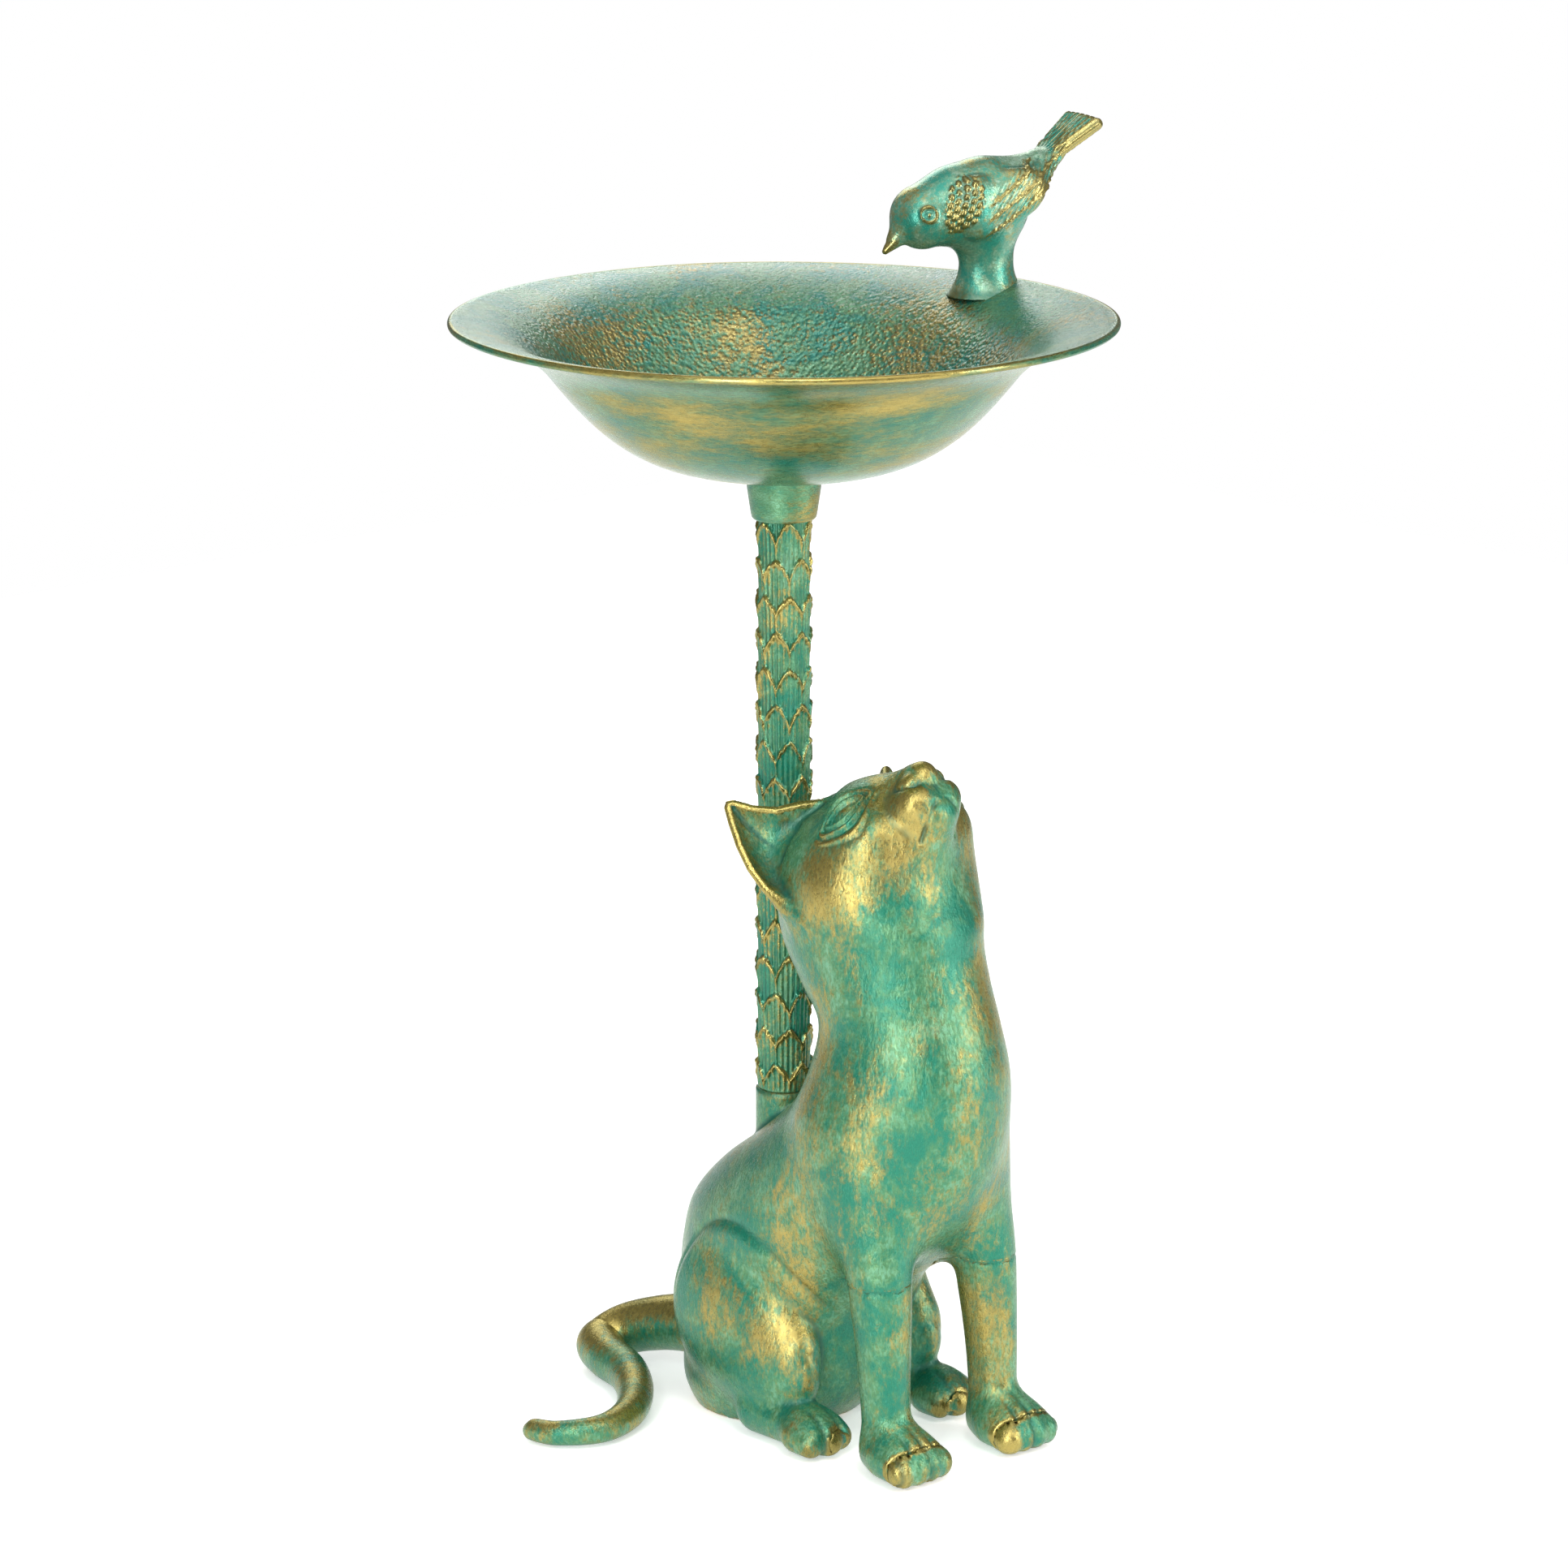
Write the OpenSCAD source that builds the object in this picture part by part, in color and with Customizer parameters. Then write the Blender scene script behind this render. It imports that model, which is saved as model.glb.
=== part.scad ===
// Garden bird bath: a sitting cat carries a leafy column, and the column carries a wide bowl
// with a small bird on its brim. One long tie rod clamps column and bowl to the cat's back.
// +X is the cat's left, -Y is where the cat faces, +Z is up. The origin is on the ground,
// on the column's axis. Millimetres.

/* [Bowl] */
// Diameter over the rim
bowl_d = 305; // [255:5:370]
// Height of the rim above the underside of the floor
bowl_depth = 72; // [60:1:86]
// Width of the flared brim
brim_w = 44.5; // [36:0.5:54]
// Wall of the casting
bowl_wall = 3.2; // [2.6:0.1:4.0]
// Diameter of the flat seat under the floor
seat_d = 40; // [40:1:48]
// Diameter of the threaded boss under the floor
boss_d = 18.4; // [17:0.2:19]

/* [Collar] */
// Diameter of the collar where it meets the bowl
collar_top_d = 37.2; // [34:0.2:39.6]
// Diameter of the collar at its lower edge
collar_bottom_d = 30; // [29:0.5:33]
// Height of the collar above the column's end
collar_h = 19; // [16:0.5:22]
// Depth of the skirt that hangs over the column's end
skirt_h = 3; // [2:0.5:5]

/* [Column] */
// Length of the column
column_len = 276; // [230:1:335]
// Diameter over the leaf tips at the top
column_top_d = 24.4; // [23:0.1:25]
// Diameter over the leaf tips at the bottom
column_bottom_d = 26; // [24:0.1:27]
// Diameter of the column's bore
column_bore_d = 17; // [14:0.5:18]
// Rows of leaves
leaf_rows = 16; // [12:1:20]
// How far the leaf tips stand out
leaf_step = 1.0; // [0.6:0.1:1.4]
// Thickness of the two plugs that centre the tie rod
plug_h = 8; // [6:1:12]

/* [Tie rod] */
// Diameter of the rod over its thread
rod_d = 10; // [8:0.5:12]
// How far the rod screws into the bush in the cat's back
rod_engagement = 28; // [22:1:29]
// Outer diameter of the threaded bush
bush_d = 18; // [16:0.5:20]
// Length of the threaded bush
bush_len = 31; // [30:1:34]
// Thickness of the sealing washer
washer_t = 1.5; // [1:0.5:2.5]

/* [Cat] */
// Height of the cat's nose above the ground
cat_h = 330; // [300:5:400]
// Wall of the cat's hollow body
cat_wall = 4; // [3:0.5:5]
// Thickness of the forelegs
leg_d = 23; // [20:0.5:26]
// Distance between the two forelegs' centres
leg_pitch = 68; // [62:1:74]
// Diameter of the socket on the cat's back
socket_d = 27.6; // [27.2:0.2:30]
// Thickness of the tail at its root
tail_root_d = 29; // [22:0.5:32]
// Thickness of the tail at its tip
tail_tip_d = 10; // [6:0.5:12]

/* [Bird] */
// Length of the bird from beak to tail
bird_len = 116; // [100:2:132]
// Where the bird stands on the rim, measured from +X
bird_angle = 5; // [-30:5:60]
// Where the bird looks, measured from +X
bird_heading = 167; // [120:1:200]
// Diameter of the two screws that hold the bird
screw_d = 4; // [3:0.5:5]
// Distance between the two screws
screw_pitch = 13; // [12:0.5:14]

/* [Hidden] */

verdigris = "#5fa888";
patina_dark = "#3f8a70";
steel = "#b8bcc0";
rubber = "#2b2b2b";

// Clearances
thread_gap = 0.05;   // radial, rod to threaded hole
slide_gap = 0.3;     // radial, parts that turn or slip over each other
seat_gap = 0.1;      // between a casting and the faceted casting that it sits on
screw_gap = 0.2;     // radial, screw to hole

k = cat_h / 330;                       // the cat is drawn 330 high
socket_z = 155 * k;                    // top of the socket on the cat's back
column_top_z = socket_z + column_len;
bowl_z = column_top_z + collar_h;      // underside of the bowl's floor
boss_len = collar_h - washer_t;
boss_roof = 1;                         // threaded hole stops this far under the floor
rod_top_gap = 1.5;                     // rod ends this far under the hole's end
seam_z = 90 * k;                       // forelegs are welded on at this height
rump_seam_y = 50 * k;                  // the tail is welded on behind this plane

// ---------- helpers ----------

function bezier(a, b, c, d, n) = [for (i = [0:n]) let (t = i / n, s = 1 - t)
    s * s * s * a + 3 * s * s * t * b + 3 * s * t * t * c + t * t * t * d];

function catmull(a, b, c, d, t) = 0.5 * (2 * b + (c - a) * t + (2 * a - 5 * b + 4 * c - d) * t * t
    + (3 * b - a - 3 * c + d) * t * t * t);

// A smooth run through rows of numbers, n steps from each row to the next
function smooth(rows, n) = [for (i = [0:len(rows) - 2], j = [0:n - 1])
    catmull(rows[max(i - 1, 0)], rows[i], rows[i + 1], rows[min(i + 2, len(rows) - 1)], j / n),
    rows[len(rows) - 1]];

function unit(v) = v / norm(v);

// Closed skin over a stack of rings, each with the same number of points
module skin(rings) {
    n = len(rings[0]);
    m = len(rings);
    polyhedron(
        points = [for (r = rings) each r],
        faces = [[for (i = [0:n - 1]) i], [for (i = [n - 1:-1:0]) (m - 1) * n + i],
            for (a = [0:m - 2], i = [0:n - 1]) let (j = (i + 1) % n)
                [a * n + i, a * n + n + i, a * n + n + j, a * n + j]]);
}

// A level ellipse [y centre, z, half width, half depth], less an inset all round
function level_ring(s, inset, n) = [for (i = [0:n - 1]) let (a = 360 * i / n)
    [(s[2] - inset) * cos(a), s[0] + (s[3] - inset) * sin(a), s[1]]];

// A round ball or, with three radii, an egg
module ball(p, r, n = 24) translate(p) scale(r) sphere(1, $fn = n);

// One limb between two balls
module limb(p, rp, q, rq, n = 20) hull() {
    ball(p, rp, n);
    ball(q, rq, n);
}

// ---------- cat ----------

// Torso and neck: [y centre, z, half width, half depth]
torso = [[3, 0, 38, 38], [0, 10, 45, 46], [-5, 32, 50, 52], [-9, 56, 52, 55], [-20, 80, 52, 64],
    [-33, 100, 51, 73], [-49, 120, 50, 71], [-66, 140, 49, 62], [-81, 162, 46, 51],
    [-89, 184, 42, 44], [-88, 206, 38, 39], [-81, 230, 38, 38], [-72, 250, 38, 40]];

module torso_skin(inset, z0, steps, n) {
    rings = [for (s = smooth(torso, steps)) if (s[1] >= z0) level_ring(s * k, inset, n)];
    skin(rings);
}

module both_sides() {
    children();
    mirror([1, 0, 0]) children();
}

module haunch() {
    hull() {
        ball([-37, -9, 52] * k, [21, 45, 41] * k, 28);
        ball([-39, -30, 38] * k, [16, 33, 29] * k, 24);
    }
}

module hind_foot() {
    limb([-40, -28, 13] * k, 13 * k, [-41, -58, 12] * k, 12 * k);
    for (i = [-1:1])
        limb([-41 + 8 * i, -60, 9] * k, 8 * k, [-41 + 9 * i, -73 + 2 * abs(i), 8.5] * k, 8.5 * k, 16);
}

module shoulder() {
    hull() {
        ball([-30, -88, 122] * k, [19, 27, 32] * k, 24);
        translate([-leg_pitch / 2, -106 * k, seam_z]) cylinder(d = leg_d + 5, h = 6, $fn = 32);
    }
}

// Head frame: the muzzle points forward and up
head_at = [0, -64, 277];
head_pitch = 50;

module in_head_frame() translate(head_at * k) rotate([-head_pitch, 0, 0]) children();

// In the head frame -Y is along the muzzle and +Z is towards the crown
module head() {
    in_head_frame() {
        ball([0, 0, 0], [43, 44, 39] * k, 32);
        ball([0, -6, -20] * k, [35, 35, 32] * k, 24);
        limb([0, -24, 1] * k, 23 * k, [0, -46, 1] * k, 12 * k, 24);
        both_sides() limb([-9, -38, -7] * k, 14 * k, [-8, -47, -8] * k, 11 * k, 16);
        limb([0, -26, -22] * k, 18 * k, [0, -43, -22] * k, 11 * k, 20);
    }
}

// Ear: a shell between an inner base corner, an outer base corner and the tip
ear_inner = [-22, -30, 301];
ear_outer = [-42, -56, 263];
ear_tip = [-48, -19, 304];
ear_back = [-33, -34, 279];

module ear() difference() {
    hull() {
        ball(ear_inner * k, 4 * k, 12);
        ball(ear_outer * k, 4 * k, 12);
        ball(ear_tip * k, 2 * k, 12);
        ball(ear_back * k, 7 * k, 12);
    }
    hull() {
        ball((ear_inner + [-6, -5, -6]) * k, 3.5 * k, 12);
        ball((ear_outer + [-7, -1, 10]) * k, 3.5 * k, 12);
        ball((ear_tip + [-2, -6, -2]) * k, 2 * k, 12);
        ball((ear_back + [-14, -9, 4]) * k, 7 * k, 12);
    }
}

module socket_boss() {
    translate([0, 0, 106 * k]) cylinder(d1 = socket_d + 16 * k, d2 = socket_d, h = 34 * k, $fn = 40);
    translate([0, 0, 130 * k]) cylinder(d = socket_d, h = socket_z - 130 * k, $fn = 40);
}

module body_outside() {
    torso_skin(0, -1, 2, 32);
    both_sides() {
        haunch();
        hind_foot();
        shoulder();
        ear();
    }
    head();
    socket_boss();
    limb([0, 30, 28] * k, 22 * k, [-6, rump_seam_y / k - 6, 27] * k, tail_root_d / 2, 20);
}

module body_hollow() {
    difference() {
        torso_skin(cat_wall, (cat_wall + 6) * k, 1, 20);
        translate([0, 0, 100 * k]) cylinder(d = socket_d + 6, h = 70 * k, $fn = 24);
    }
    in_head_frame() ball([0, 0, 0], [44, 46, 40] * k - [1, 1, 1] * 1.6 * cat_wall, 20);
}

module cat_body() color(verdigris) difference() {
    body_outside();
    body_hollow();
    translate([-200, -400, -200]) cube([400, 800, 200]);
    // Weld faces for the forelegs and the tail
    both_sides() translate([-leg_pitch / 2 - leg_d, -106 * k - leg_d, 0])
        cube([2 * leg_d, 2 * leg_d, seam_z]);
    translate([-60, rump_seam_y, -1]) cube([120, 60, 60 * k]);
    // Seat of the threaded bush
    translate([0, 0, socket_z - bush_len]) cylinder(d = bush_d + 2 * seat_gap, h = bush_len + 1, $fn = 48);
    // Drain hole in the underside
    translate([0, -26 * k, -1]) cylinder(d = 12, h = 40, $fn = 24);
}

// Right foreleg; the left one is its mirror image
module foreleg() {
    r = leg_d / 2;
    x = leg_pitch / 2;
    intersection() {
        union() {
            limb([-x, -106 * k, seam_z], r + 2.5, [-x, -106 * k, 55 * k], r);
            limb([-x, -106 * k, 55 * k], r, [-x, -106 * k, 26 * k], r - 1);
            limb([-x, -106 * k, 26 * k], r - 1, [-x, -108 * k, 13 * k], 13 * k);
            limb([-x, -108 * k, 13 * k], 13 * k, [-x, -122 * k, 13 * k], 13 * k);
            for (i = [-1.5, -0.5, 0.5, 1.5])
                limb([-x + 6 * i * k, -120 * k, 10 * k], 8 * k,
                    [-x + 7 * i * k, (abs(i) - 132) * k, 9 * k], 8 * k, 16);
        }
        translate([-200, -300, 0]) cube([400, 400, seam_z]);
    }
}

module right_foreleg() color(verdigris) foreleg();

module left_foreleg() color(verdigris) mirror([1, 0, 0]) foreleg();

// Tail: [x, y, z] along its middle, from the weld on the rump to the tip
tail_path = [[-8, 50, 27], [-15, 70, 23], [-24, 88, 17], [-37, 91, 11], [-46, 75, 9.5],
    [-52, 54, 9], [-66, 32, 8.8], [-86, 14, 8.5], [-107, 8, 7.8], [-124, 19, 6.6], [-130, 38, 5]];

function path_radius(t) = tail_tip_d / 2 + (tail_root_d - tail_tip_d) / 2 * pow(1 - t, 1.1);

module tail() color(verdigris) {
    path = smooth(tail_path, 4) * k;
    last = len(path) - 1;
    rings = [for (i = [0:last])
        let (t = i / last,
            r = path_radius(t) * (t > 0.985 ? 0.55 : 1),
            d = i == 0 ? [0, 1, 0] : unit(path[min(i + 1, last)] - path[max(i - 1, 0)]),
            side = unit(cross([0, 0, 1], d)),
            up = cross(d, side),
            c = [path[i][0], path[i][1], max(path[i][2], r)])
        [for (a = [0:15]) c + r * (cos(22.5 * a) * side + sin(22.5 * a) * up)]];
    intersection() {
        skin([for (r = rings) [for (p = r) [p[0], p[1], max(p[2], 0)]]]);
        translate([-300, rump_seam_y - 200, -1]) cube([600, 400, 200]);
    }
}

// ---------- rod and column ----------

module ring(od, id, h) difference() {
    cylinder(d = od, h = h, $fn = 96);
    translate([0, 0, -1]) cylinder(d = id, h = h + 2, $fn = 96);
}

module socket_bush() color(steel)
    translate([0, 0, socket_z - bush_len]) ring(bush_d, rod_d, bush_len);

module tie_rod() color(steel)
    translate([0, 0, socket_z - rod_engagement])
        cylinder(d = rod_d - 2 * thread_gap,
            h = rod_engagement + column_len + collar_h - boss_roof - rod_top_gap, $fn = 96);

function column_r(z) = (column_bottom_d + (column_top_d - column_bottom_d) * z / column_len) / 2;

// The trunk is a stack of short cones, each flared to the tips of one row of leaves
module column() color(patina_dark) {
    leafy = column_len - skirt_h - slide_gap;
    pitch = leafy / leaf_rows;
    outline = [for (i = [0:leaf_rows - 1]) each [
        [column_r(i * pitch) - leaf_step, i * pitch],
        [column_r((i + 1) * pitch), (i + 0.86) * pitch],
        [column_r((i + 1) * pitch) - leaf_step * 0.5, (i + 1) * pitch]]];
    translate([0, 0, socket_z]) rotate_extrude($fn = 96) polygon([
        [column_bore_d / 2, 0], each outline,
        [column_top_d / 2 - leaf_step, leafy], [column_top_d / 2 - leaf_step, column_len],
        [column_bore_d / 2, column_len]]);
}

module plug() ring(column_bore_d - 2 * thread_gap, rod_d + 2 * slide_gap, plug_h);

module column_bottom_plug() color(steel) translate([0, 0, socket_z]) plug();

module column_top_plug() color(steel) translate([0, 0, column_top_z - plug_h]) plug();

// ---------- collar, washer and bowl ----------

module collar() color(verdigris) {
    spigot_r = column_top_d / 2 - leaf_step + slide_gap;
    boss_r = boss_d / 2 + slide_gap;
    chamfer = 2.5;
    translate([0, 0, column_top_z]) rotate_extrude($fn = 96) polygon([
        [boss_r, 0], [spigot_r, 0], [spigot_r, -skirt_h],
        [collar_bottom_d / 2 - chamfer * 0.7, -skirt_h], [collar_bottom_d / 2, -skirt_h + chamfer],
        [collar_top_d / 2, collar_h], [boss_r, collar_h]]);
}

module seal_washer() color(rubber)
    translate([0, 0, column_top_z]) ring(boss_d - 1.4, rod_d + 2 * slide_gap, washer_t);

wall_r = bowl_d / 2 - brim_w;
wall_z = bowl_depth * 0.645;
rim_low_z = bowl_depth - bowl_wall - 0.3;
wall_way = [0.616, 0.788];

// Underside of the bowl from its seat out to the rim
bowl_under = concat(
    bezier([seat_d / 2, 0], [seat_d / 2 + 0.51 * (wall_r - seat_d / 2), 0],
        [wall_r, wall_z] - 0.82 * wall_z * wall_way, [wall_r, wall_z], 16),
    [for (i = [1:10]) bezier([wall_r, wall_z], [wall_r, wall_z] + 0.36 * brim_w * wall_way,
        [bowl_d / 2 - 0.4 * brim_w, rim_low_z - 0.06 * brim_w], [bowl_d / 2, rim_low_z], 10)[i]]);

function along(pts, i) = unit(pts[min(i + 1, len(pts) - 1)] - pts[max(i - 1, 0)]);

// The same curve lifted by the wall, square to itself
function lifted(pts, t) = [for (i = [0:len(pts) - 1]) pts[i] + t * [-along(pts, i)[1], along(pts, i)[0]]];

module bowl_section() polygon([[0, 0], each bowl_under,
    [bowl_d / 2 + 0.5, rim_low_z + bowl_wall * 0.5],
    each [for (i = [len(bowl_under) - 1:-1:1]) lifted(bowl_under, bowl_wall)[i]], [0, bowl_wall]]);

// Where the bird stands: on the brim, with its foot square to the sloping brim
bird_r = bowl_d / 2 - 12.5;
brim_tilt = 13;
brim_at = [for (i = [1:len(bowl_under) - 1])
    let (p = lifted(bowl_under, bowl_wall), a = p[i - 1], b = p[i])
    if (a[0] <= bird_r && b[0] > bird_r) a[1] + (b[1] - a[1]) * (bird_r - a[0]) / (b[0] - a[0])][0];
bird_foot = [bird_r * cos(bird_angle), bird_r * sin(bird_angle), bowl_z + brim_at];

module on_brim() translate(bird_foot) rotate([0, -brim_tilt, bird_angle]) children();

module screw_places() for (s = [-1, 1]) translate([0, s * screw_pitch / 2, 0]) children();

module bowl() color(verdigris) difference() {
    translate([0, 0, bowl_z]) {
        rotate_extrude($fn = 144) bowl_section();
        translate([0, 0, -boss_len]) cylinder(d = boss_d, h = boss_len + 1, $fn = 96);
    }
    translate([0, 0, bowl_z - boss_len - 1]) cylinder(d = rod_d, h = boss_len + 1 - boss_roof, $fn = 96);
    on_brim() screw_places() {
        translate([0, 0, -30]) cylinder(d = screw_d + 2 * screw_gap, h = 60, $fn = 32);
        translate([0, 0, -30 - bowl_wall]) cylinder(d = 2.6 * screw_d, h = 30, $fn = 32);
    }
}

// ---------- bird ----------

kb = bird_len / 116;                   // the bird is drawn 116 long, +X towards its beak

module in_bird_frame() translate(bird_foot) rotate([0, 0, bird_heading]) children();

module bird_shape() {
    hull() {
        ball([5, 0, 39] * kb, [25, 19, 22] * kb, 24);
        ball([20, 0, 39] * kb, [16, 14, 17] * kb, 24);
    }
    limb([20, 0, 41] * kb, 16 * kb, [36, 0, 36] * kb, 14.5 * kb);
    limb([45, 0, 31] * kb, 7 * kb, [55, 0, 20] * kb, 1.5 * kb, 16);
    limb([-6, 0, 44] * kb, 17 * kb, [-26, 0, 55] * kb, 7.5 * kb);
    hull() {
        ball([-24, 0, 54] * kb, 6 * kb, 16);
        for (s = [-1, 0, 1]) ball([-52 + 3 * abs(s), 11 * s, 75 - 2 * abs(s)] * kb, 2.6 * kb, 12);
    }
    for (s = [-1, 1]) hull() {
        ball([13, 15 * s, 39] * kb, [9, 5, 15] * kb, 16);
        ball([-8, 14 * s, 45] * kb, [14, 5, 12] * kb, 16);
        ball([-30, 4 * s, 57] * kb, [8, 3, 3] * kb, 12);
    }
    // Post from the belly to the brim
    hull() {
        ball([1, 0, 24] * kb, [11, 9, 6] * kb, 24);
        translate([0, 0, -8]) scale([13.5, 10.5, 1]) cylinder(r = kb, h = 3, $fn = 32);
    }
}

module bird() color(verdigris) difference() {
    in_bird_frame() bird_shape();
    translate([0, 0, bowl_z + seat_gap]) rotate_extrude($fn = 144) bowl_section();
    translate([0, 0, bowl_z - 40]) cylinder(r = wall_r + 6, h = 40 + wall_z, $fn = 48);
    on_brim() {
        translate([-60, -60, -40]) cube([120, 120, 40 - bowl_wall * 0.5]);
        screw_places() translate([0, 0, -10]) cylinder(d = screw_d + 2 * screw_gap, h = 22, $fn = 24);
    }
}

washer_h = 0.8;

module bird_washers() color(steel) on_brim() screw_places()
    translate([0, 0, -bowl_wall - washer_h]) ring(2.3 * screw_d, screw_d + 2 * screw_gap, washer_h);

module bird_screws() color(steel) on_brim() screw_places() {
    translate([0, 0, -bowl_wall - washer_h - 0.1]) cylinder(d = screw_d, h = bowl_wall + 11, $fn = 32);
    translate([0, 0, -bowl_wall - washer_h - 0.6 * screw_d])
        cylinder(d = 2 * screw_d, h = 0.6 * screw_d, $fn = 32);
}

cat_body();
right_foreleg();
left_foreleg();
tail();
socket_bush();
tie_rod();
column();
column_bottom_plug();
column_top_plug();
collar();
seal_washer();
bowl();
bird();
bird_screws();
bird_washers();
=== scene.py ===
import bpy
import numpy as np
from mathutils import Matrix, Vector


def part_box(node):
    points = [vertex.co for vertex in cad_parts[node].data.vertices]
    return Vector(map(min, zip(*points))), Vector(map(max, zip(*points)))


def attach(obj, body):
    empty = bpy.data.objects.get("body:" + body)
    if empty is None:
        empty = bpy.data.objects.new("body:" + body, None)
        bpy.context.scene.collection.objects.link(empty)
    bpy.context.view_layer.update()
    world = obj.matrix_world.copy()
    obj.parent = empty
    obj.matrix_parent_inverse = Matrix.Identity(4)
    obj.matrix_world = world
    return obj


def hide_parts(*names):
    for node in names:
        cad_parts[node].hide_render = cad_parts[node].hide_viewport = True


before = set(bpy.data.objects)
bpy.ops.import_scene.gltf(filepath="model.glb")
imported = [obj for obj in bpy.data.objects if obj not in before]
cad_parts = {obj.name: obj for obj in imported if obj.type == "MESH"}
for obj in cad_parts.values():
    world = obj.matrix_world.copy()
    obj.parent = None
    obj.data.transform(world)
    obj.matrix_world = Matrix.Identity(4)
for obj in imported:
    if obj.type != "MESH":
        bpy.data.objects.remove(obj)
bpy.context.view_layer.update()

# ---------------------------------------------------------------- camera
# A long lens about three metres away, level with the middle of the cat's head and a little above it.
# It looks at the bird bath's axis from the cat's right front.

eye_point = Vector((-1.939, -2.153, 1.031))
aim_point = Vector((0.0, 0.0, 0.3015))
camera = bpy.data.objects.new("camera", bpy.data.cameras.new("camera"))
camera.data.lens = 147.3
camera.data.sensor_width = 36.0
camera.data.clip_end = 50.0
camera.location = eye_point
camera.rotation_euler = (aim_point - eye_point).to_track_quat("-Z", "Y").to_euler()
bpy.context.scene.collection.objects.link(camera)
bpy.context.scene.camera = camera

# ---------------------------------------------------------------- the cat's casting
# The seated cat is one hollow aluminium casting, chased and finished by hand.
# Its body, head and hind feet are one piece; the forelegs and the tail are cast apart and welded on.


def unit(x):
    """Values held between 0 and 1."""
    return np.clip(x, 0, 1)


def blend(a, b, k):
    """Union of two solids given as distances, with a fillet of about k mm."""
    h = unit(0.5 + 0.5 * (b - a) / k)
    return b + (a - b) * h - k * h * (1 - h)


def carve(a, b, k):
    """What is inside both solids, with the edge between them rounded over about k mm."""
    return -blend(-a, -b, k)


def egg(p, centre, radii):
    """Distance to an ellipsoid: its level function over its own slope."""
    q = p - np.float32(centre)
    r = np.float32(radii)
    k0 = np.sqrt(((q / r) ** 2).sum(1))
    k1 = np.sqrt(((q / r**2) ** 2).sum(1)) + 1e-6
    return k0 * (k0 - 1) / k1


def limb(p, a, b, ra, rb):
    """Distance to a round bar from a to b whose radius goes evenly from ra to rb."""
    a, ab = np.float32(a), np.float32(b) - np.float32(a)
    h = unit((p - a) @ ab / (ab @ ab))
    return np.sqrt(((p - a - h[:, None] * ab) ** 2).sum(1)) - (ra + (rb - ra) * h)


def scribe(p, path):
    """Distance to a line through the points of path."""
    d = limb(p, path[0], path[1], 0, 0)
    for a, b in zip(path[1:-1], path[2:]):
        d = np.minimum(d, limb(p, a, b, 0, 0))
    return d


def ridge(x, at, width):
    """A rounded bead, 1 high, standing at a distance from its line."""
    return np.exp(-(((x - at) / width) ** 2))


def through(table, z):
    """Smooth curves through the columns of table, with the heights in its third column (Hermite cubic)."""
    table = np.asarray(table, float)
    t = table[:, 2]
    i = np.clip(np.searchsorted(t, z) - 1, 0, len(t) - 2)
    h = t[i + 1] - t[i]
    s = unit((z - t[i]) / h)
    out = []
    for c in (0, 1, 3, 4):
        v = table[:, c]
        m = np.gradient(v, t)
        a, b = (2 * s**3 - 3 * s**2 + 1) * v[i], (-2 * s**3 + 3 * s**2) * v[i + 1]
        out.append(np.float32(a + b + (s**3 - 2 * s**2 + s) * h * m[i] + (s**3 - s**2) * h * m[i + 1]))
    return out


def trunk(p, table):
    """Distance to a stack of ovals: each row of table is x, y, z of the middle, half width and half depth."""
    xc, yc, a, b = through(table, p[:, 2])
    x, y = p[:, 0] - xc, p[:, 1] - yc
    g = np.sqrt((x / a) ** 2 + (y / b) ** 2)
    slope = np.sqrt((x / a**2) ** 2 + (y / b**2) ** 2) / np.maximum(g, 1e-3)
    return np.float32((g - 1) / np.maximum(slope, 1 / 80) * 0.9)


body_ovals = [
    [0, 3, -12, 30, 30], [0, 3, 0, 40, 40], [0, 0, 10, 46, 47], [0, -5, 32, 50, 52],
    [0, -8, 56, 52, 57], [0, -17, 80, 52, 67], [0, -31, 100, 52, 76], [0, -48, 120, 51, 74],
    [0, -66, 140, 50, 64], [0, -81, 162, 47.5, 53], [0, -88, 184, 44, 46.5], [0, -86, 206, 41, 43],
    [0, -76, 224, 42, 46.5], [0, -68.5, 240, 43.5, 49.5], [0, -66.5, 256, 45, 50.5], [0, -66, 275, 45, 49],
    [0, -66, 295, 44, 46],
]
foreleg_ovals = [
    [34, -109, 4, 11.5, 12], [34, -108, 26, 11.2, 11.6], [34, -106.5, 50, 12.2, 12.4],
    [33.6, -104.5, 72, 13.6, 13.8], [33, -102, 92, 15, 15.4], [30, -95, 118, 19, 19.5], [26, -87, 142, 23.5, 23.5],
    [22, -81, 162, 25.5, 25.5], [15, -82, 186, 23, 23], [8, -84, 212, 17, 17],
]

head_at = np.float32([0, -64, 282])
face_up = np.radians(60)
head_axes = np.float32([[1, 0, 0], [0, -np.cos(face_up), np.sin(face_up)], [0, np.sin(face_up), np.cos(face_up)]])

# The ear is drawn on its own flat: along from its inner root to its outer root, up to the tip, and out of the hollow.
ear_inner, ear_outer, ear_tip = np.float32([[20, 8, 31], [40, -24, -14], [48, 3.7, 64]])
ear_along = (ear_outer - ear_inner) / np.linalg.norm(ear_outer - ear_inner)
ear_out = np.cross(ear_tip - ear_inner, ear_along)
ear_out /= np.linalg.norm(ear_out)
ear_high = np.cross(ear_along, ear_out) * np.sign(np.cross(ear_along, ear_out) @ (ear_tip - ear_inner))
ear_outline = np.float32([
    [-3, -10], [0, 6], [2.5, 16], [1.5, 27], [-1, 36], [0, 39.5], [3, 40.5], [11, 38.5], [22, 35], [33, 30], [43, 23],
    [52, 13], [57, 2], [58, -10],
])


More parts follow.
